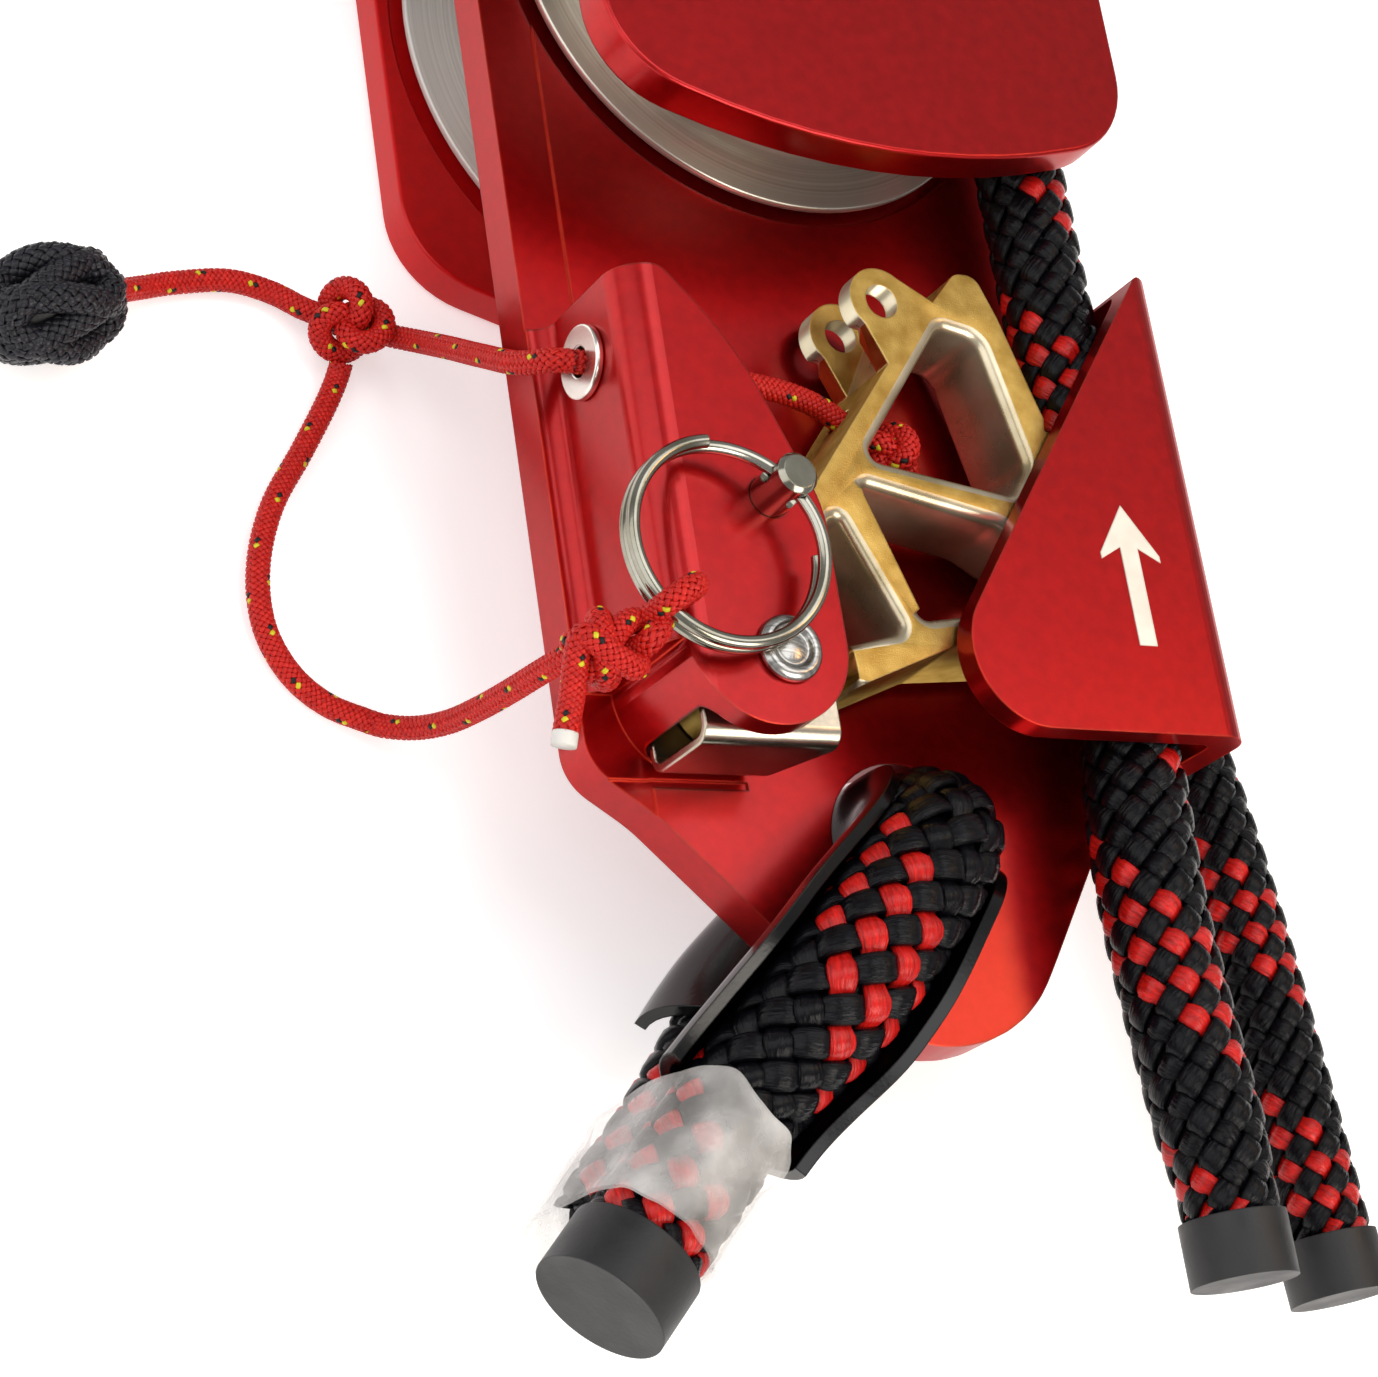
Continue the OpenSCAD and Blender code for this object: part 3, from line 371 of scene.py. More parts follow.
MOULDED = {
    "white_print": {
        "dark": rgb(222, 214, 200), "light": rgb(236, 230, 216), "rough": 0.55, "grain": 0.3, "depth": 0.02,
    },
    "sealed_end": {
        "dark": rgb(14, 14, 16), "light": rgb(34, 34, 36), "rough": 0.55, "grain": 0.5, "depth": 0.03,
    },
    "thimble_plastic": {
        "dark": rgb(4, 4, 5), "light": rgb(12, 11, 12), "rough": 0.17, "grain": 0.5, "depth": 0.01,
        "gloss": 0.36,
    },
    "white_tip": {
        "dark": rgb(206, 202, 196), "light": rgb(238, 236, 230), "rough": 0.5, "grain": 0.4, "depth": 0.03,
    },
}
finishes = {name: metal(name, **look) for name, look in METALS.items()}
finishes.update({name: moulded(name, **look) for name, look in MOULDED.items()})
finishes["clear_sleeve"] = clear_plastic("clear_sleeve")
ROPE_YARNS = [
    yarn("rope_black", rgb(1, 1, 3), rgb(15, 15, 20), rough=0.28, count=18.0, depth=0.2, gloss=0.16),
    yarn("rope_red", rgb(126, 4, 6), rgb(226, 34, 28), rough=0.3, count=18.0, depth=0.2, gloss=0.3),
]
CORD_YARNS = [
    yarn("cord_red", rgb(150, 8, 8), rgb(220, 36, 24), count=5.0, depth=0.03),
    yarn("cord_yellow", rgb(176, 166, 20), rgb(230, 220, 50), count=5.0, depth=0.03),
    yarn("cord_black", rgb(6, 6, 8), rgb(26, 24, 26), count=5.0, depth=0.03),
]
KNOB_YARNS = [yarn("knob_black", rgb(8, 8, 11), rgb(40, 40, 48), rough=0.4, count=6.0)]


# Swept shapes
def ease(value, low, high):
    """A smooth step from 0 at low to 1 at high."""
    t = np.clip((value - low) / (high - low), 0, 1)
    return t * t * (3 - 2 * t)


def travel(path):
    """How far each point of a path lies along it."""
    return np.concatenate([[0], np.cumsum(np.linalg.norm(np.diff(path, axis=0), axis=1))])


def smooth_path(points, step):
    """An even line in metres through points in the row frame, with a spacing near step in mm."""
    pts = np.array(points, float)
    ends = np.vstack([2 * pts[0] - pts[1], pts, 2 * pts[-1] - pts[-2]])
    line = [pts[0]]
    for i in range(1, len(ends) - 2):
        a, b, c, d = ends[i - 1:i + 3]
        knots = np.cumsum([0] + [math.sqrt(np.linalg.norm(q - p)) for p, q in ((a, b), (b, c), (c, d))])
        count = max(4, int(np.linalg.norm(c - b) / (step * MM) * 3))
        for t in np.linspace(knots[1], knots[2], count + 1)[1:]:
            ab = a + (b - a) * (t - knots[0]) / (knots[1] - knots[0])
            bc = b + (c - b) * (t - knots[1]) / (knots[2] - knots[1])
            cd = c + (d - c) * (t - knots[2]) / (knots[3] - knots[2])
            abc = ab + (bc - ab) * (t - knots[0]) / (knots[2] - knots[0])
            bcd = bc + (cd - bc) * (t - knots[1]) / (knots[3] - knots[1])
            line.append(abc + (bcd - abc) * (t - knots[1]) / (knots[2] - knots[1]))
    line = np.array(line)
    along = travel(line)
    even = np.linspace(0, along[-1], max(8, int(round(along[-1] / (step * MM)))) + 1)
    return np.stack([np.interp(even, along, line[:, k]) for k in range(3)], 1)


def carried_frames(path):
    """Tangent and two steady side directions along a path."""
    tangent = np.gradient(path, axis=0)
    tangent /= np.linalg.norm(tangent, axis=1)[:, None]
    start = np.cross(tangent[0], (0, 0, 1))
    if np.linalg.norm(start) < 0.1:
        start = np.cross(tangent[0], (1, 0, 0))
    sides = [start / np.linalg.norm(start)]
    for t in tangent[1:]:
        side = sides[-1] - t * np.dot(sides[-1], t)
        sides.append(side / np.linalg.norm(side))
    sides = np.array(sides)
    return tangent, sides, np.cross(tangent, sides)


def spokes(side, up, count):
    """Directions square to a path, evenly round each of its points."""
    angles = np.linspace(0, 2 * math.pi, count, endpoint=False)
    return np.cos(angles)[None, :, None] * side[:, None] + np.sin(angles)[None, :, None] * up[:, None]


def ring_faces(rings, around, first):
    """Quads between rings of vertices, with both ends closed."""
    faces = []
    for i in range(rings - 1):
        low, high = first + i * around, first + (i + 1) * around
        for k in range(around):
            n = (k + 1) % around
            faces.append((low + k, low + n, high + n, high + k))
    faces.append(tuple(first + k for k in reversed(range(around))))
    faces.append(tuple(first + (rings - 1) * around + k for k in range(around)))
    return faces


def add_mesh(name, points, faces, materials, slots=None, uvs=None):
    mesh = bpy.data.meshes.new(name)
    mesh.from_pydata([tuple(p) for p in points], [], faces)
    for material in materials:
        mesh.materials.append(material)
    if slots is not None:
        mesh.polygons.foreach_set("material_index", np.array(slots, np.int32))
    mesh.polygons.foreach_set("use_smooth", np.ones(len(mesh.polygons), bool))
    if uvs is not None:
        corners = np.zeros(len(mesh.loops), np.int32)
        mesh.loops.foreach_get("vertex_index", corners)
        layer = mesh.uv_layers.new(name="yarn")
        layer.data.foreach_set("uv", np.asarray(uvs, np.float32)[corners].ravel())
    mesh.update()
    obj = bpy.data.objects.new(name, mesh)
    scene.collection.objects.link(obj)
    return obj


def tube(name, path, radius, material, around=16):
    """A smooth round wire along a path."""
    _, side, up = carried_frames(path)
    radii = np.broadcast_to(np.asarray(radius, float), (len(path),)) * MM
    points = path[:, None] + radii[:, None, None] * spokes(side, up, around)
    return add_mesh(name, points.reshape(-1, 3), ring_faces(len(path), around, 0), [material])


# Braids: corners of a strand's section and how square it is, how sharply a strand crosses over and under,
# its swing and narrowing there, the core inside, and the shifts that keep strands' fibres apart
STRAND_ANGLES = np.radians([0, 30, 60, 90, 120, 150, 180, 270])
SQUARE_ACROSS, SQUARE_OUT = 0.6, 0.65
STRAND_SNAP, STRAND_SWING, STRAND_PINCH = 1.7, 0.75, 0.14
CORE_SIDES, CORE_SINK = 12, 0.6
STRAND_SHIFT, WAY_SHIFT = 17.3, 400


def squared(values, power):
    """Values from -1 to 1 pushed out towards a square's sides."""
    return np.sign(values) * np.abs(values) ** power


STRAND_ACROSS = squared(np.cos(STRAND_ANGLES), SQUARE_ACROSS)
STRAND_OUT = squared(np.sin(STRAND_ANGLES), SQUARE_OUT)


def braid(name, path, radius, weave, yarns):
    """Crossing strands woven round a path. The weave gives strands each way, lead in mm, a strand's half
    thickness as a share of the radius, its fill, how far one way lies over the other, which strands take
    which yarn and on every how many of their picks."""
    _, side, up = carried_frames(path)
    along = travel(path) / MM
    count, lead = weave["strands"], weave["lead"]
    radius = np.broadcast_to(np.asarray(radius, float), (len(path),))
    half = weave["half"] * radius
    swing = half * STRAND_SWING
    mid = radius - half - swing
    slope = np.arctan(2 * math.pi * mid / lead)
    width = weave["fill"] * math.pi * mid / count * np.cos(slope)
    around = len(STRAND_ANGLES)
    points, faces, slots, uvs = [], [], [], []
    for turn in (1, -1):
        for k in range(count):
            angle = turn * 2 * math.pi * along / lead + 2 * math.pi * k / count
            crossing = 2 * k + turn * 2 * count * along / lead
            rise = turn * (np.cos(math.pi * crossing) + weave["bias"])
            wave = np.tanh(STRAND_SNAP * rise) / math.tanh(STRAND_SNAP)
            out = np.cos(angle)[:, None] * side + np.sin(angle)[:, None] * up
            centre = path + ((mid + swing * wave) * MM)[:, None] * out
            run = np.gradient(centre, axis=0)
            run /= np.linalg.norm(run, axis=1)[:, None]
            across = np.cross(run, out)
            across /= np.linalg.norm(across, axis=1)[:, None]
            widths = (width * (1 - STRAND_PINCH + STRAND_PINCH * wave) * MM)[:, None, None]
            ring = (
                STRAND_ACROSS[None, :, None] * across[:, None] * widths
                + STRAND_OUT[None, :, None] * out[:, None] * (half * MM)[:, None, None]
            )
            first = sum(len(p) for p in points)
            points.append((centre[:, None] + ring).reshape(-1, 3))
            faces += ring_faces(len(path), around, first)
            picked = weave["yarns"].get((turn, k), 0)
            pick = np.floor((crossing + 1) / 2).astype(int)[:-1]
            shown = np.where(pick % weave["every"] == 0, picked, 0)
            slots += [*np.repeat(shown, around), 0, 0]
            u = np.repeat(along + STRAND_SHIFT * k + WAY_SHIFT * (turn > 0), around)
            v = np.tile(np.arange(around) / around, len(path))
            uvs.append(np.stack([u, v], 1))
    first = sum(len(p) for p in points)
    core = spokes(side, up, CORE_SIDES) * ((mid - half * CORE_SINK) * MM)[:, None, None]
    points.append((path[:, None] + core).reshape(-1, 3))
    core_faces = ring_faces(len(path), CORE_SIDES, first)
    faces += core_faces
    slots += [0] * len(core_faces)
    v = np.tile(np.arange(CORE_SIDES) / CORE_SIDES, len(path))
    uvs.append(np.stack([np.repeat(along, CORE_SIDES), v], 1))
    return add_mesh(name, np.vstack(points), faces, yarns, slots, np.vstack(uvs))


ROPE_STRANDS, RED_STRANDS = 8, 4


def rope_weave(first, lead=32):
    """A rope's weave, with its red strands side by side from the first one on."""
    red = {(-1, (first + k) % ROPE_STRANDS): 1 for k in range(RED_STRANDS)}
    return {
        "strands": ROPE_STRANDS, "lead": lead, "half": 0.12, "fill": 1.02, "bias": 0.3, "every": 1,
        "yarns": red,
    }


CORD_WEAVE = {
    "strands": 8, "lead": 5.6, "half": 0.13, "fill": 1.04, "bias": 0, "every": 3,
    "yarns": {(1, 0): 1, (1, 1): 2},
}
KNOB_WEAVE = {"strands": 8, "lead": 10, "half": 0.13, "fill": 1.04, "bias": 0, "every": 1, "yarns": {}}

# Diameters, and the spacing of points along each kind of cord
ROPE_D, CORD_D, EYE_D, KNOB_CORD_D = 11, 2.8, 13.5, 3.6
ROPE_STEP, CORD_STEP, KNOB_STEP = 0.5, 0.16, 0.3


# Cords and ropes, along the CAD part's routes
RELEASE = [
    (-15.1, 36.8, 35.2), (-16.9, 36.9, 34.9), (-18.6, 38.5, 30.5), (-19, 43, 23), (-18.8, 48, 15),
    (-19.2, 52, 8.5), (-21.6, 54.4, 5), (-26, 55.8, 4.3), (-30, 57.6, 2.9), (-33.5, 60, 1.7),
    (-38.5, 61, 1.6), (-45, 60, 1.6), (-50, 58.2, 2.6), (-54, 56, 5),
]
LOOP = [
    (-26.3, 51.2, 2.7), (-26.7, 49.6, 1.8), (-28.2, 46.5, 1.6), (-32, 40, 1.6), (-36.3, 33, 1.6),
    (-38.6, 26.5, 1.6), (-39.2, 21, 1.6), (-38.5, 16.5, 1.6), (-36, 12, 1.6), (-32.3, 9, 1.6),
    (-28, 7.02, 2.3),
]
RING_CORD = [
    (-28, 7.02, 2.3), (-26.6, 6.4, 2.8), (-24.4, 5, 6), (-23, 3.8, 11), (-22.5, 2.8, 18), (-22.3, 2.1, 25),
    (-22.1, 1.6, 32), (-21.4, 1.4, 38), (-20.2, 1.5, 41),
]
INNER = [
    (-14.5, 36.8, 35.2), (-8, 36.8, 35.2), (0, 36.8, 35.2), (7, 36.4, 35.2), (12.4, 35.6, 35.2),
    (16.5, 34.2, 35.2), (19.8, 31.9, 35.2), (21.5, 30.7, 35.2),
]
REAR = [
    (56.4, 77, 13.6), (61.5, 54.5, 13.9), (66.8, 31, 15.5), (71, 12, 17.4), (73.4, -3, 18.7),
    (74.8, -20, 19.8), (75.9, -40, 20.5), (76.8, -60, 21),
]

# Ropes over the sheaves: the turn's radius and its end in degrees, the free tail, and each rope's height
WRAP_R, WRAP_END, TAIL = 28.5, 105, 34
FRONT_Z, REAR_Z, REAR_LEAN, ROPE_LOW = 35.85, 13.55, 12.7, -60
HANG_SWELL, HANG_TOP, HANG_END = 0.65, (-14, -2), (ROPE_LOW + 3, ROPE_LOW + 10)


def wrap_spot(degrees, z):
    """A spot on the rope's turn over a sheave."""
    a = math.radians(degrees)
    return (SHEAVE_X + WRAP_R * math.cos(a), SHEAVE_Y + WRAP_R * math.sin(a), z)


def rope_top(start, z):
    """The tail and the turn over a sheave, from the free tail down to an angle."""
    x, y, _ = wrap_spot(WRAP_END, z)
    a = math.radians(WRAP_END)
    tail = [(x - TAIL * share * math.sin(a), y + TAIL * share * math.cos(a), z) for share in (1, 0.67, 0.33)]
    return tail + [wrap_spot(d, z) for d in np.linspace(WRAP_END, start, 9)]


FRONT = rope_top(0, FRONT_Z) + [(x, y, FRONT_Z) for x, y in (
    (51.2, 74), (51.2, 52), (51.2, 30), (51.2, 12), (50.9, 2), (50.1, -8), (49.3, -17), (49, -25),
    (49.4, -34), (50.2, -45), (51, -54), (51.2, ROPE_LOW),
)]
BACK = rope_top(REAR_LEAN, REAR_Z) + REAR

# Becket eye: a bend through the plate's hole, and two legs that close towards a throat
EYE_AT, EYE_TURN, EYE_Z = (22.9, -15), math.radians(225.8), 24.7
EYE_BEND, EYE_CROWN, EYE_STRAIGHT, EYE_THROAT, EYE_THROAT_Z = 11.55, 9.1, 24, 44, 6.95
EYE_END, EYE_TAIL, EYE_SWELL, EYE_ASIDE, EYE_FILLS, EYE_FULL = 62, 54, 0.75, 0.8, (26, 42), 11.5


def eye_spot(along, aside, lift):
    """A spot measured along the becket eye, across it and above the plate's middle."""
    return (
        EYE_AT[0] + along * math.cos(EYE_TURN) - aside * math.sin(EYE_TURN),
        EYE_AT[1] + along * math.sin(EYE_TURN) + aside * math.cos(EYE_TURN),
        EYE_Z + lift,
    )


EYE = [eye_spot(a, 0, z) for a, z in (
    [(EYE_END, EYE_THROAT_Z), (53, EYE_THROAT_Z), (EYE_THROAT, EYE_THROAT_Z), (34, 9.25)]
    + [(EYE_STRAIGHT, EYE_BEND)]
    + [(EYE_CROWN - EYE_BEND * math.sin(math.radians(18 * k)), EYE_BEND * math.cos(math.radians(18 * k)))
       for k in range(11)]
    + [(EYE_STRAIGHT, -EYE_BEND), (34, -9.25), (EYE_THROAT, -EYE_THROAT_Z), (EYE_TAIL, -EYE_THROAT_Z)]
)]


def eye_along(path):
    """How far in mm each point of a path lies along the becket eye."""
    return ((path - at(*eye_spot(0, 0, 0)))[:, :2] / MM) @ np.array((math.cos(EYE_TURN), math.sin(EYE_TURN)))


def eye_frames(path):
    """Inward and sideways directions along the becket eye."""
    tangent, _, _ = carried_frames(path)
    side = np.array((-math.sin(EYE_TURN), math.cos(EYE_TURN), 0))
    inward = np.cross(tangent, side)
    return inward / np.linalg.norm(inward, axis=1)[:, None], side


def eye_swell(path):
    """Extra radius in mm of the spliced rope, which fills out between its sleeve and the becket hole."""
    lift = np.abs(path[:, 2] - at(0, 0, EYE_Z)[2]) / MM
    return EYE_SWELL * (1 - ease(eye_along(path), *EYE_FILLS)) * ease(lift, 0, EYE_FULL)


def eye_line(step):
    """The eye's path, moved out and aside so that the swollen rope still lies in its trough."""
    path = route_path(EYE, step)
    inward, side = eye_frames(path)
    swell = eye_swell(path)[:, None] * MM
    return path - swell * inward + EYE_ASIDE / EYE_SWELL * swell * side


def woven(name, path, radius, weave, yarns, body, replaced):
    """A braided piece along a path, on a body or fixed in the row frame, in place of a CAD node."""
    obj = braid(name, path, radius, weave, yarns)
    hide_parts(replaced)
    if isinstance(body, str):
        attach(obj, body)
    else:
        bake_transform(obj)
    return obj


def route_path(route, step):
    return smooth_path([at(*p) for p in route], step)


def hanging_swell(path):
    """Extra radius in mm of a strand that hangs free below its channel."""
    height = (path[:, 1] - pivot[1]) / MM
    return HANG_SWELL * (1 - ease(height, *HANG_TOP)) * ease(height, *HANG_END)


def thick_rope(name, path, radius, weave, replaced):
    return woven(name, path, radius, weave, ROPE_YARNS, "frame", replaced)


front_path = route_path(FRONT, ROPE_STEP)
rear_path = route_path(BACK, ROPE_STEP)
eye_path = eye_line(ROPE_STEP)
front_radius = ROPE_D / 2 + hanging_swell(front_path)
eye_radius = EYE_D / 2 + eye_swell(eye_path)
front_rope = thick_rope("front_rope_braid", front_path, front_radius, rope_weave(7, 34.5), "front_rope")
rear_rope = thick_rope("rear_rope_braid", rear_path, ROPE_D / 2, rope_weave(1), "rear_rope")
becket_eye = thick_rope("becket_eye_braid", eye_path, eye_radius, rope_weave(5, 38), "becket_eye")


def thin_cord(name, route, body, replaced):
    path = route_path(route, CORD_STEP)
    return woven(name, path, CORD_D / 2, CORD_WEAVE, CORD_YARNS, body, replaced), path


# Cords that cross a joint list the bodies on both sides and two spots between them, and stay fixed in the row
# frame
LOOP_BLEND = ("frame", "pin", at(-30, 44, 2), at(-29, 8, 2))
RING_BLEND = ("pin", "ring", at(-22.5, 2.8, 18), at(-20.2, 1.5, 41))
INNER_BLEND = ("frame", "cam", at(-8, 36.8, 35.2), at(19, 32, 35.2))
release_cord, release_path = thin_cord("release_cord_braid", RELEASE, "frame", "release_cord")
loop_cord, loop_path = thin_cord("loop_cord_braid", LOOP, LOOP_BLEND, "loop_cord")
ring_cord, ring_path = thin_cord("ring_cord_braid", RING_CORD, RING_BLEND, "ring_cord")
inner_cord, inner_path = thin_cord("inner_cord_braid", INNER, INNER_BLEND, "inner_cord")


# Knots
def axes_to(look):
    """Two directions square to a line of sight, and the line's own."""
    look = Vector(look).normalized()
    side = look.cross(Vector((0, 0, 1))).normalized()
    return np.array(side), np.array(side.cross(look)), np.array(look)


KNOT_FACING = (-0.53, -0.35, 0.78)


def overhand(centre, turn, wide, deep, samples=90):
    """A tight overhand knot's line, wound round a ring of the given sizes in mm."""
    side, up, out = axes_to(KNOT_FACING)
    t = np.linspace(0, 2 * math.pi, samples + 1)
    reach = wide + deep * np.cos(3 * t)
    angle = 2 * t + math.radians(turn)
    local = (reach * np.cos(angle))[:, None] * side + (reach * np.sin(angle))[:, None] * up
    return at(*centre) + (local + (deep * np.sin(3 * t))[:, None] * out) * MM


def cord_knot(name, line, body, replaced):
    """A knot tied in the thin cord."""
    path = smooth_path(line, CORD_STEP)
    return woven(name, path, CORD_D / 2, CORD_WEAVE, CORD_YARNS, body, replaced)


loop_line = overhand((-26, 55.2, 5.6), turn=20, wide=2.35, deep=1.6)
stopper_line = overhand((24.3, 28.8, 35.2), turn=70, wide=1.9, deep=1.2)
loop_knot = cord_knot("loop_knot_braid", loop_line, "frame", "loop_knot")
stopper_knot = cord_knot("stopper_knot_braid", stopper_line, "cam", "stopper_knot")

# Hitch: the cord goes up over the ring and back under it, twists with itself, wraps round and ends in a tail
HITCH_LOW, HITCH_HIGH = np.array((-23.6, -1.4, 43.2)), np.array((-16.8, 1, 47))
HITCH_TWIST, HITCH_START, HITCH_WRAP, HITCH_IN, HITCH_OUT = 0.6, 0.62, 1.35, 1.45, 2.9
HITCH_OVER = [(-16.2, 2.6, 50.2), (-14.6, 3.6, 51), (-13.1, 4.5, 50), (-12.7, 4.7, 48.2), (-13.8, 4, 46.4)]
HITCH_TAIL = [(-25.2, -6, 42.6), (-25.9, -9, 41.9)]
HITCH_TIP, TIP_SHARE, TIP_STEP = (-26.2, -10.4, 41.6), 0.97, 0.3


def hitch_spots(start, turns, radius, low_share, high_share, count):
    """Spots on a coil round the hitch's own line, between two shares of it."""
    side, up, _ = axes_to(HITCH_HIGH - HITCH_LOW)
    spots = []
    for share in np.linspace(0, 1, count):
        a = 2 * math.pi * (start + turns * share)
        middle = HITCH_LOW + (HITCH_HIGH - HITCH_LOW) * (low_share + (high_share - low_share) * share)
        spots.append(middle + radius * (math.cos(a) * side + math.sin(a) * up))
    return spots


def hitch_line():
    """The hitch's line, from the ring cord's end to the tail."""
    rising = hitch_spots(0, HITCH_TWIST, HITCH_IN, 0, 0.9, 7)
    falling = hitch_spots(0.5 + HITCH_TWIST, -HITCH_TWIST, HITCH_IN, 0.9, 0, 7)
    wrap = hitch_spots(HITCH_START, HITCH_WRAP, HITCH_OUT, 0.02, 0.6, 14)
    back = hitch_spots(HITCH_START + HITCH_WRAP + 0.1, 0.25, HITCH_OUT + 0.6, 0.5, 0.1, 4)
    spots = [RING_CORD[-1], *rising, *HITCH_OVER, *falling, *wrap, *back, *HITCH_TAIL]
    return [at(*p) for p in spots]


ring_hitch = cord_knot("ring_hitch_braid", hitch_line(), "ring", "ring_hitch")
tip_path = smooth_path([at(*HITCH_TAIL[-1]), at(*HITCH_TIP)], TIP_STEP)
tip = tube("ring_hitch_tip", tip_path, CORD_D / 2 * TIP_SHARE, finishes["white_tip"])
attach(tip, "ring")

# Pull knob: black cord woven round an egg shape with a plain core
KNOB_AT, KNOB_TURN, KNOB_LEN, KNOB_R = (-54.6, 55.6, 6.7), math.radians(203), 17, 6.6
KNOB_AXIS = np.array((math.cos(KNOB_TURN), math.sin(KNOB_TURN), 0))
KNOB_SIDE = np.array((-math.sin(KNOB_TURN), math.cos(KNOB_TURN), 0))
KNOB_UP = np.array((0, 0, 1))
KNOB_ROUNDS, KNOB_PASSES, KNOB_REACH, KNOB_ROUNDING, KNOB_SWELL = 3, 5, 0.82, 0.86, 0.1
KNOB_END_IN, KNOB_SIDE_IN, KNOB_CORE_IN, KNOB_CORE_END = 1.6, 1.7, 2.6, 0.12


def knob_line():
    """The knob cord's line: it goes round and from end to end, swelling where it passes over itself."""
    t = np.linspace(0, 2 * math.pi, 260)
    lift = KNOB_REACH * np.sin(KNOB_PASSES * t) * math.pi / 2
    turn = KNOB_ROUNDS * t
    swell = 1 + KNOB_SWELL * np.cos(KNOB_ROUNDS * KNOB_PASSES * t)
    along = KNOB_LEN / 2 + (KNOB_LEN / 2 - KNOB_END_IN) * np.sin(lift)
    out = (KNOB_R - KNOB_SIDE_IN) * np.cos(lift * KNOB_ROUNDING) * swell
    aside, above = out * np.cos(turn), out * np.sin(turn)
    spots = along[:, None] * KNOB_AXIS + aside[:, None] * KNOB_SIDE + above[:, None] * KNOB_UP
    return at(*KNOB_AT) + spots * MM


def knob_core_piece():
    """The core that closes the gaps between the knob's turns."""
    share = np.linspace(KNOB_CORE_END, 1 - KNOB_CORE_END, 24)
    path = at(*KNOB_AT) + share[:, None] * KNOB_LEN * KNOB_AXIS * MM
    radius = (KNOB_R - KNOB_CORE_IN) * np.sin(share * math.pi)
    obj = tube("pull_knob_core", path, radius, finishes["sealed_end"], 24)
    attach(obj, "frame")
    return obj


knob_path = smooth_path(knob_line(), KNOB_STEP)
pull_knob = woven("pull_knob_braid", knob_path, KNOB_CORD_D / 2, KNOB_WEAVE, KNOB_YARNS,
                  "frame", "pull_knob")
knob_core = knob_core_piece()


# Metal pieces kept from the CAD part: points this near are one, and angles tell flat joins from edges
MERGE, JOIN_MERGE = 0.002 * MM, 0.005 * MM
FLAT_ANGLE, SHARP_ANGLE, PLATE_SHARP = (math.radians(a) for a in (0.4, 32, 15))


def round_edges(obj, width, segments=2):
    """Small rounds on a node's edges, by modifiers only."""
    weld = obj.modifiers.new("weld", "WELD")
    weld.merge_threshold = MERGE
    flat = obj.modifiers.new("flat", "DECIMATE")
    flat.decimate_type = "DISSOLVE"
    flat.angle_limit = FLAT_ANGLE
    bevel = obj.modifiers.new("bevel", "BEVEL")
    bevel.width = width * MM
    bevel.segments = segments
    bevel.limit_method = "ANGLE"
    bevel.angle_limit = SHARP_ANGLE
    bevel.use_clamp_overlap = True
    normals = obj.modifiers.new("normals", "WEIGHTED_NORMAL")
    normals.keep_sharp = False


# The rear cheek and the rear sheave take rougher copies of their finishes, whose lighter base colour is painted
# light that makes up for the shade they lie in
PAINTED_LIGHT_COPIES = {"rear_cheek": "red_matt", "rear_sheave": "matt_sheave"}
for part in record["subparts"]:
    node, slot = nodes[part["node"]], part["material_slot"]
    if slot in finishes:
        node.data.materials.clear()
        node.data.materials.append(finishes[PAINTED_LIGHT_COPIES.get(part["node"], slot)])

ROUNDED = {
    "front_cheek": 0.5, "rear_cheek": 0.5, "front_sheave": 0.3, "rear_sheave": 0.3, "cam_clip": 0.2,
    "sheave_axle": 0.3, "cam_axle": 0.3, "lock_pin": 0.15, "cord_eyelet": 0.25,
}
for name, width in ROUNDED.items():
    round_edges(nodes[name], width)


# Copies of CAD nodes that need another mesh
def node_bmesh(name):
    """A node's mesh as a copy to work on."""
    work = bmesh.new()
    work.from_mesh(nodes[name].data)
    bmesh.ops.remove_doubles(work, verts=work.verts, dist=MERGE)
    return work


def keep_piece(obj, body, slot, *replaced, sharp=SHARP_ANGLE):
    """Shade a piece, and show it on its body in place of CAD nodes."""
    obj.data.shade_smooth()
    obj.data.set_sharp_from_angle(angle=sharp)
    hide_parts(*replaced)
    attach(obj, body)


def bmesh_object(work, name, *materials):
    mesh = bpy.data.meshes.new(name)
    work.to_mesh(mesh)
    work.free()
    for material in materials:
        mesh.materials.append(material)
    obj = bpy.data.objects.new(name, mesh)
    scene.collection.objects.link(obj)
    return obj


# The plate's curved outline comes in facets: its upright edges turn by these angles, and a round on such
# an edge takes this percentage of the faces beside it. A face is upright, level or steep by its normal.
FACET_LOW, FACET_HIGH, FACET_ROUND = math.radians(4), math.radians(20), 30
UPRIGHT, LEVEL, STEEP = 0.02, 0.9, 0.2


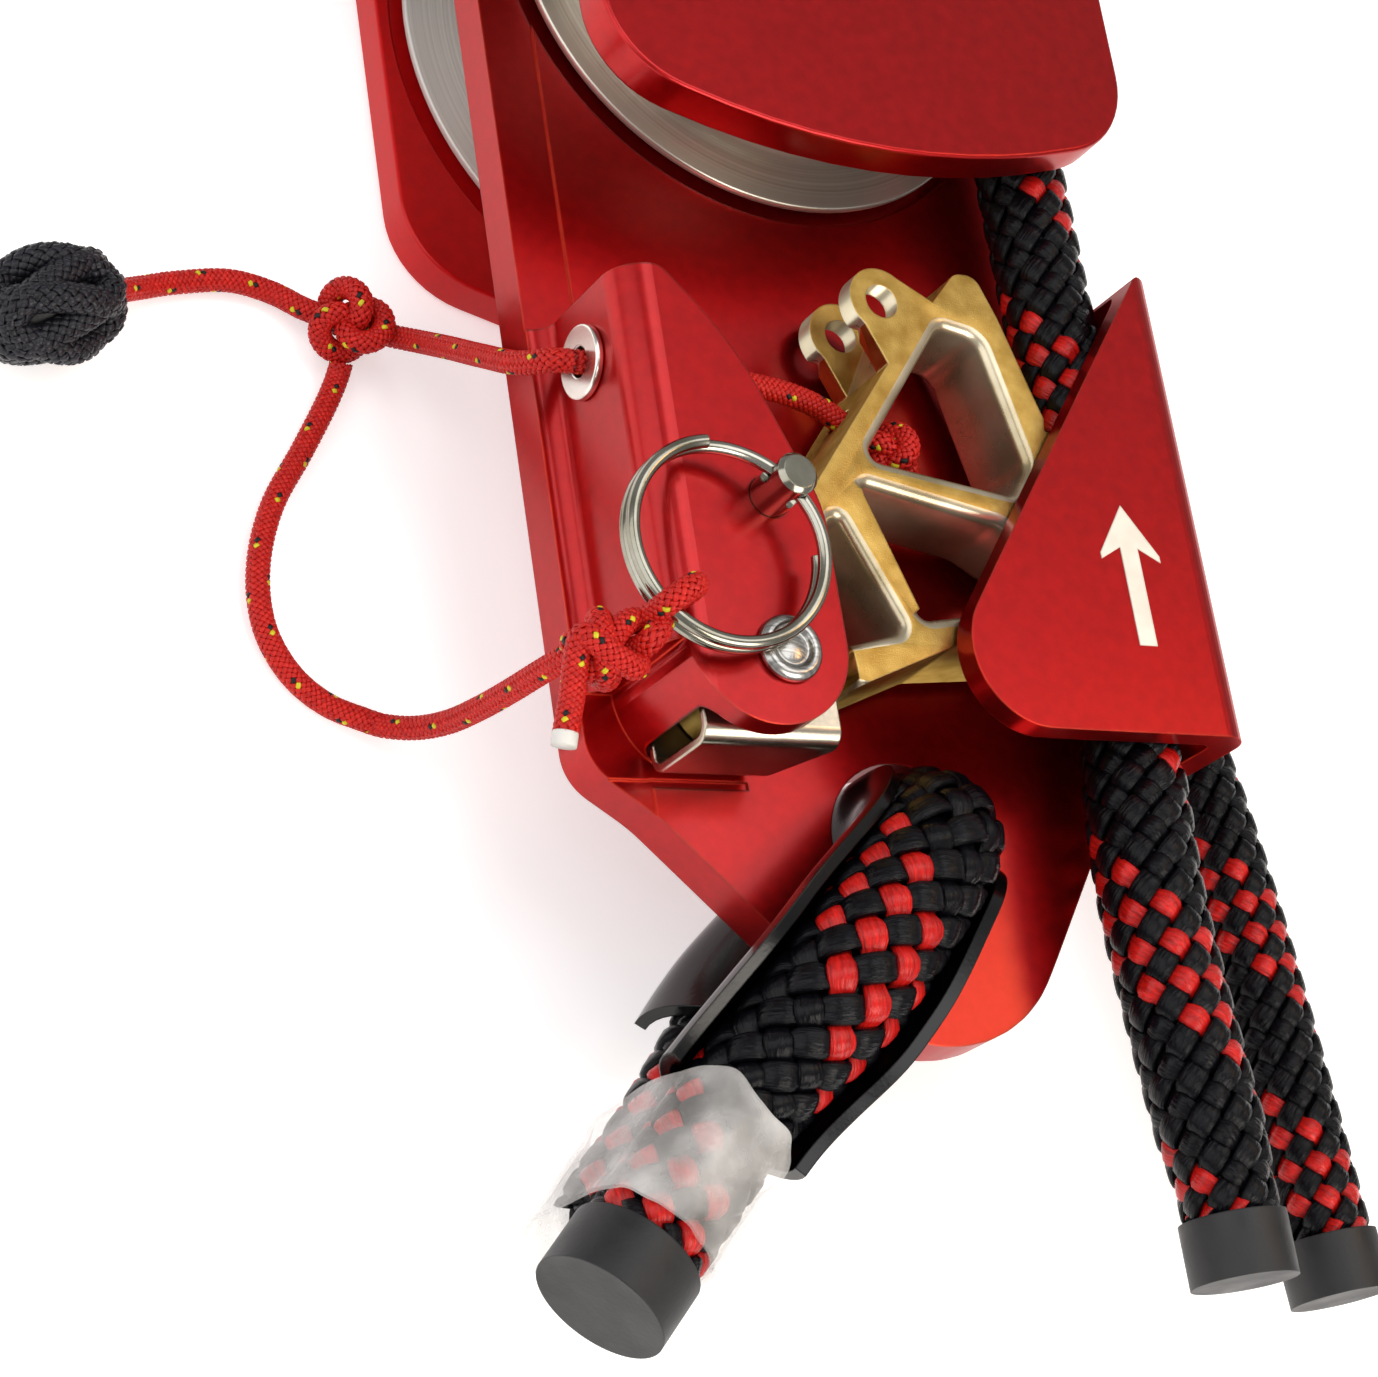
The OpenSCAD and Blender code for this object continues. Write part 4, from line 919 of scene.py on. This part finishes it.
def fused_plate():
    """The main plate and its two bent channels as the one piece of metal they are."""
    names = ("main_plate", "cam_channel", "rope_channel")
    plate, *walls = [bmesh_object(node_bmesh(n), n + "_copy") for n in names]
    for wall in walls:
        join = plate.modifiers.new("join", "BOOLEAN")
        join.operation = "UNION"
        join.solver = "EXACT"
        join.object = wall
    mesh = bpy.data.meshes.new_from_object(plate.evaluated_get(bpy.context.evaluated_depsgraph_get()))
    for copy in (plate, *walls):
        bpy.data.meshes.remove(copy.data)
    work = bmesh.new()
    work.from_mesh(mesh)
    bpy.data.meshes.remove(mesh)
    bmesh.ops.remove_doubles(work, verts=work.verts, dist=JOIN_MERGE)
    bmesh.ops.dissolve_limit(work, angle_limit=FLAT_ANGLE, verts=work.verts, edges=work.edges)
    work.normal_update()
    facets = [
        e for e in work.edges
        if len(e.link_faces) == 2 and e.is_convex
        and all(abs(f.normal.z) < UPRIGHT for f in e.link_faces)
        and FACET_LOW < e.calc_face_angle() < FACET_HIGH
    ]
    bmesh.ops.bevel(work, geom=facets, offset=FACET_ROUND, segments=3, profile=0.5, affect="EDGES",
                    material=-1, clamp_overlap=True, offset_type="PERCENT")
    for face in work.faces:
        face.material_index = 0
    plate = bmesh_object(work, "plate_body", finishes["red_anodised"])
    keep_piece(plate, "frame", "red_anodised", *names, sharp=PLATE_SHARP)
    even = plate.modifiers.new("even", "WEIGHTED_NORMAL")
    even.keep_sharp = True


# Cam: the middles of its windows and of its ear, with how far round each of them its walls lie
CAM_WINDOWS, WINDOW_REACH = [(29, 32), (27, 13), (12, 9)], 17
CAM_EAR, EAR_REACH, EAR_HOLE_REACH, HUB_REACH = (23, 45.5), 4.6, 3.5, 6
CAM_CHAMFER, CAM_ROUND = 1.3, 0.35


def wall_spot(face):
    """A cam wall's middle, in mm from the pivot."""
    return (np.array(face.calc_center_median()) - pivot)[:2] / MM


def on_ear(face):
    """Whether a cam wall is the rim or the hole of an ear."""
    return np.hypot(*(wall_spot(face) - CAM_EAR)) < EAR_REACH


def faces_window(face):
    """Whether a cam wall looks into one of its three windows."""
    spot = wall_spot(face)
    if np.hypot(*spot) < HUB_REACH or np.hypot(*(spot - CAM_EAR)) < EAR_HOLE_REACH:
        return False
    inward = min((np.array(w, float) - spot for w in CAM_WINDOWS), key=lambda way: np.hypot(*way))
    return float(np.dot(inward, np.array(face.normal)[:2])) > 0 and np.hypot(*inward) < WINDOW_REACH


def cam_casting():
    """The cam with wide worn chamfers in its windows and small rounds elsewhere."""
    work = node_bmesh("cam")
    bmesh.ops.dissolve_limit(work, angle_limit=FLAT_ANGLE, verts=work.verts, edges=work.edges)
    work.normal_update()
    for face in work.faces:
        face.material_index = int(abs(face.normal.z) < STEEP and (faces_window(face) or on_ear(face)))
    wide, fine = [], []
    for edge in work.edges:
        if len(edge.link_faces) != 2 or edge.calc_face_angle() < SHARP_ANGLE or not edge.is_convex:
            continue
        up = [f for f in edge.link_faces if abs(f.normal.z) > LEVEL]
        wall = [f for f in edge.link_faces if abs(f.normal.z) < STEEP]
        (wide if up and wall and faces_window(wall[0]) else fine).append(edge)
    bmesh.ops.bevel(work, geom=wide, offset=CAM_CHAMFER * MM, segments=4, profile=0.5, affect="EDGES",
                    material=1, clamp_overlap=False, offset_type="OFFSET")
    fine = [e for e in fine if e.is_valid]
    bmesh.ops.bevel(work, geom=fine, offset=CAM_ROUND * MM, segments=2, profile=0.5, affect="EDGES",
                    material=-1, clamp_overlap=True, offset_type="OFFSET")
    casting = bmesh_object(work, "cam_casting", finishes["gold_cam"], finishes["worn_silver"])
    keep_piece(casting, "cam", "gold_cam", "cam")


fused_plate()
cam_casting()

# Split ring: one wire wound nearly twice round, single where it passes the pin
RING_AT, RING_TURN, RING_TILT = (0.8, 17.6, 48.9), math.atan2(-0.667, -0.745), math.radians(2.5)
RING_R, RING_WIRE, RING_PITCH = 11.2, 1.5, 1.45
RING_CUTS = (234, 495, 594, 855)


def split_ring():
    """The ring's wire, which steps up by its pitch between the two middle cuts, in degrees."""
    first, cross, crossed, last = RING_CUTS
    degrees = np.linspace(first, last, 240)
    lift = RING_PITCH * (0.5 - ease(degrees, cross, crossed))
    angle = np.radians(degrees)
    local = np.stack([RING_R + RING_R * np.cos(angle), RING_R * np.sin(angle), lift], 1)
    turn = np.array(Matrix.Rotation(RING_TURN, 3, "Z") @ Matrix.Rotation(RING_TILT, 3, "Y"))
    path = at(*RING_AT) + local @ turn.T * MM
    obj = tube("split_ring_wire", path, RING_WIRE / 2, finishes["chrome_wire"], 20)
    keep_piece(obj, "ring", "chrome_wire", "split_ring")


split_ring()


# Becket eye's trough and sleeve
THIMBLE_T, THIMBLE_GAP, THIMBLE_STEP, FRONT_END, REAR_END = 1.4, 0.15, 0.8, 44, 30
LIP_OUT, LIP_REACH, LIP_ALONG, LIP_AROUND = 1.4, 104, (2, 22), (0.9, 1.8)


def thimble():
    """A moulded trough inside the eye, with lips that flare beside the rope."""
    path = eye_line(THIMBLE_STEP)
    inward, side = eye_frames(path)
    along = eye_along(path)
    keep = along < np.where(path[:, 2] > at(0, 0, EYE_Z)[2], FRONT_END, REAR_END)
    path, inward, along = path[keep], inward[keep], along[keep]
    turn = np.radians(np.linspace(-LIP_REACH, LIP_REACH, 33))
    flare = LIP_OUT * ease(along, *LIP_ALONG)[:, None] * ease(np.abs(turn), *LIP_AROUND)[None]
    base = EYE_D / 2 + THIMBLE_GAP + eye_swell(path)[:, None] + flare
    around = np.cos(turn)[None, :, None] * inward[:, None] + np.sin(turn)[None, :, None] * side
    inner = path[:, None] + around * base[:, :, None] * MM
    outer = path[:, None] + around * (base + THIMBLE_T)[:, :, None] * MM
    shell = np.concatenate([inner, outer[:, ::-1]], 1)
    obj = add_mesh("thimble_trough", shell.reshape(-1, 3), ring_faces(len(path), shell.shape[1], 0),
                   [finishes["thimble_plastic"]])
    keep_piece(obj, "frame", "thimble_plastic", "thimble")


thimble()

# The sleeve's rags and wrinkles are waves round it: height in mm, waves in a turn, shift and twist along it
SLEEVE_FROM, SLEEVE_TO, SLEEVE_T, SLEEVE_GAP = 44.6, 60, 0.5, 0.5
SLEEVE_RAGS = [(0.9, 2, 0.6, 0), (0.5, 5, 0, 0)]
SLEEVE_WRINKLES = [(0.16, 7, 0, 3), (0.12, 13, 0, -5)]
SLEEVE_MOUTH, SLEEVE_MOUTH_END, SLEEVE_WAIST = 0.5, 0.18, 4


def waves(table, angle, share):
    """The height of a table's waves together, at angles round the sleeve and a share of its length."""
    return sum(high * np.sin(count * angle + shift + twist * share) for high, count, shift, twist in table)


def sleeve_rings(gap, around=96, rings=41):
    """Points of a shrunk sleeve round both legs of the eye, wrinkled and with a ragged upper edge."""
    angle = np.linspace(0, 2 * math.pi, around, endpoint=False)
    points = []
    for share in np.linspace(0, 1, rings):
        ragged = (1 - share) * waves(SLEEVE_RAGS, angle, share)
        along = SLEEVE_FROM + (SLEEVE_TO - SLEEVE_FROM) * share + ragged
        mouth = SLEEVE_MOUTH * (1 - ease(share, 0, SLEEVE_MOUTH_END))
        radius = EYE_D / 2 + gap + waves(SLEEVE_WRINKLES, angle, share) + mouth
        aside = radius * np.cos(angle)
        lift = radius * np.sin(angle) + EYE_THROAT_Z * np.tanh(SLEEVE_WAIST * np.sin(angle))
        points.append([at(*eye_spot(*p)) for p in zip(along, aside, lift)])
    return np.array(points)


def sleeve():
    """The sleeve's wall, closed at both ends."""
    inner, outer = sleeve_rings(SLEEVE_GAP), sleeve_rings(SLEEVE_GAP + SLEEVE_T)
    rings, around, _ = inner.shape
    shell = np.concatenate([inner, outer[::-1]]).reshape(-1, 3)
    faces = []
    for i in range(2 * rings):
        low, high = i * around, (i + 1) % (2 * rings) * around
        faces += [(low + k, high + k, high + (k + 1) % around, low + (k + 1) % around) for k in range(around)]
    obj = add_mesh("eye_sleeve_shell", shell, faces, [finishes["clear_sleeve"]])
    keep_piece(obj, "frame", "clear_sleeve", "eye_sleeve")


sleeve()


# Return spring, smooth where the CAD part's is faceted
SPRING_R, SPRING_WIRE, SPRING_LOW, SPRING_PITCH, SPRING_TURNS = 4.4, 1, 35.65, 1.5, 2
SPRING_STEP = 0.25


def spring():
    """The spring's wire: a leg on the plate, the coil and an arm on the cam."""
    top = SPRING_LOW + SPRING_PITCH * SPRING_TURNS
    coil = [(-SPRING_R * math.cos(a), SPRING_R * math.sin(a), SPRING_LOW + SPRING_PITCH * a / (2 * math.pi))
            for a in np.linspace(0, 2 * math.pi * SPRING_TURNS, 24 * SPRING_TURNS + 1)]
    legs = [(-SPRING_R, -6.6, SPRING_LOW), (-SPRING_R, -3, SPRING_LOW)]
    arm = [(x, y, top) for x, y in ((-4.1, 3.4), (-2, 7), (1.5, 11.3), (2.9, 13.1))]
    path = route_path([*legs, *coil, *arm], SPRING_STEP)
    obj = tube("cam_spring_wire", path, SPRING_WIRE / 2, finishes["dark_steel"], 12)
    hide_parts("cam_spring")
    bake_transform(obj)


spring()


# Stage and light: the floor's half width and drop in metres, its glow to the camera, and the room's light
FLOOR_HALF, FLOOR_DROP, FLOOR_GLOW, ROOM_LIGHT = 12.0, 0.0005, 0.45, 0.4

# Each lamp's place and aim in mm, size in metres, power in watts and colour
LAMPS = {
    "left_box": ((-420, 40, 330), (10, 40, 25), (0.5, 0.6), 1.4, (1, 1, 1)),
    "near_box": ((140, -380, 360), (20, 0, 25), (0.35, 0.3), 1.8, (1, 0.93, 0.84)),
    "warm_box": ((346, 60, 431), (40, -40, 25), (0.1, 0.1), 0.2, (1, 0.55, 0.2)),
    "top_box": ((120, 160, 700), (20, 40, 25), (0.5, 0.5), 1.6, (1, 1, 1)),
}


def floor_material():
    """Pale floor that keeps the shadow and reads white to the camera."""
    material, tree, main = new_material("floor")
    fine = use_group(tree, GRAIN, Size=6.0)
    pale = mix_colour(tree, fine["Tone"], rgb(250, 250, 250), rgb(253, 253, 253))
    plug(tree, pale, main.inputs["Base Color"])
    main.inputs["Roughness"].default_value = 1.0
    main.inputs["Specular IOR Level"].default_value = 0.0
    path = add_node(tree, "ShaderNodeLightPath").outputs
    seen = math_node(tree, "ADD", path["Is Camera Ray"], path["Is Glossy Ray"])
    seen = math_node(tree, "ADD", seen, path["Is Transmission Ray"], clamp=True)
    plug(tree, mix_colour(tree, seen, (0, 0, 0, 1), (1, 1, 1, 1)), main.inputs["Emission Color"])
    main.inputs["Emission Strength"].default_value = FLOOR_GLOW
    return material


def add_stage():
    corners = [(x * FLOOR_HALF, y * FLOOR_HALF, 0) for x, y in ((-1, -1), (1, -1), (1, 1), (-1, 1))]
    floor = add_mesh("floor", corners, [(0, 1, 2, 3)], [floor_material()])
    floor.location.z = -FLOOR_DROP
    world = bpy.data.worlds.new("studio")
    scene.world = world
    world.use_nodes = True
    background = world.node_tree.nodes["Background"]
    background.inputs["Color"].default_value = (1, 1, 1, 1)
    background.inputs["Strength"].default_value = ROOM_LIGHT


def add_lamp(name, spot, aim, size, power, colour):
    data = bpy.data.lights.new(name, "AREA")
    data.shape = "RECTANGLE"
    data.size, data.size_y = size
    data.energy = power
    data.color = colour
    lamp = bpy.data.objects.new(name, data)
    scene.collection.objects.link(lamp)
    place, target = Vector(at(*spot)), Vector(at(*aim))
    turn = (place - target).to_track_quat("Z", "Y").to_matrix().to_4x4()
    lamp.matrix_world = Matrix.Translation(place) @ turn


add_stage()
for name, lamp in LAMPS.items():
    add_lamp(name, *lamp)

scene.view_settings.view_transform = "Standard"
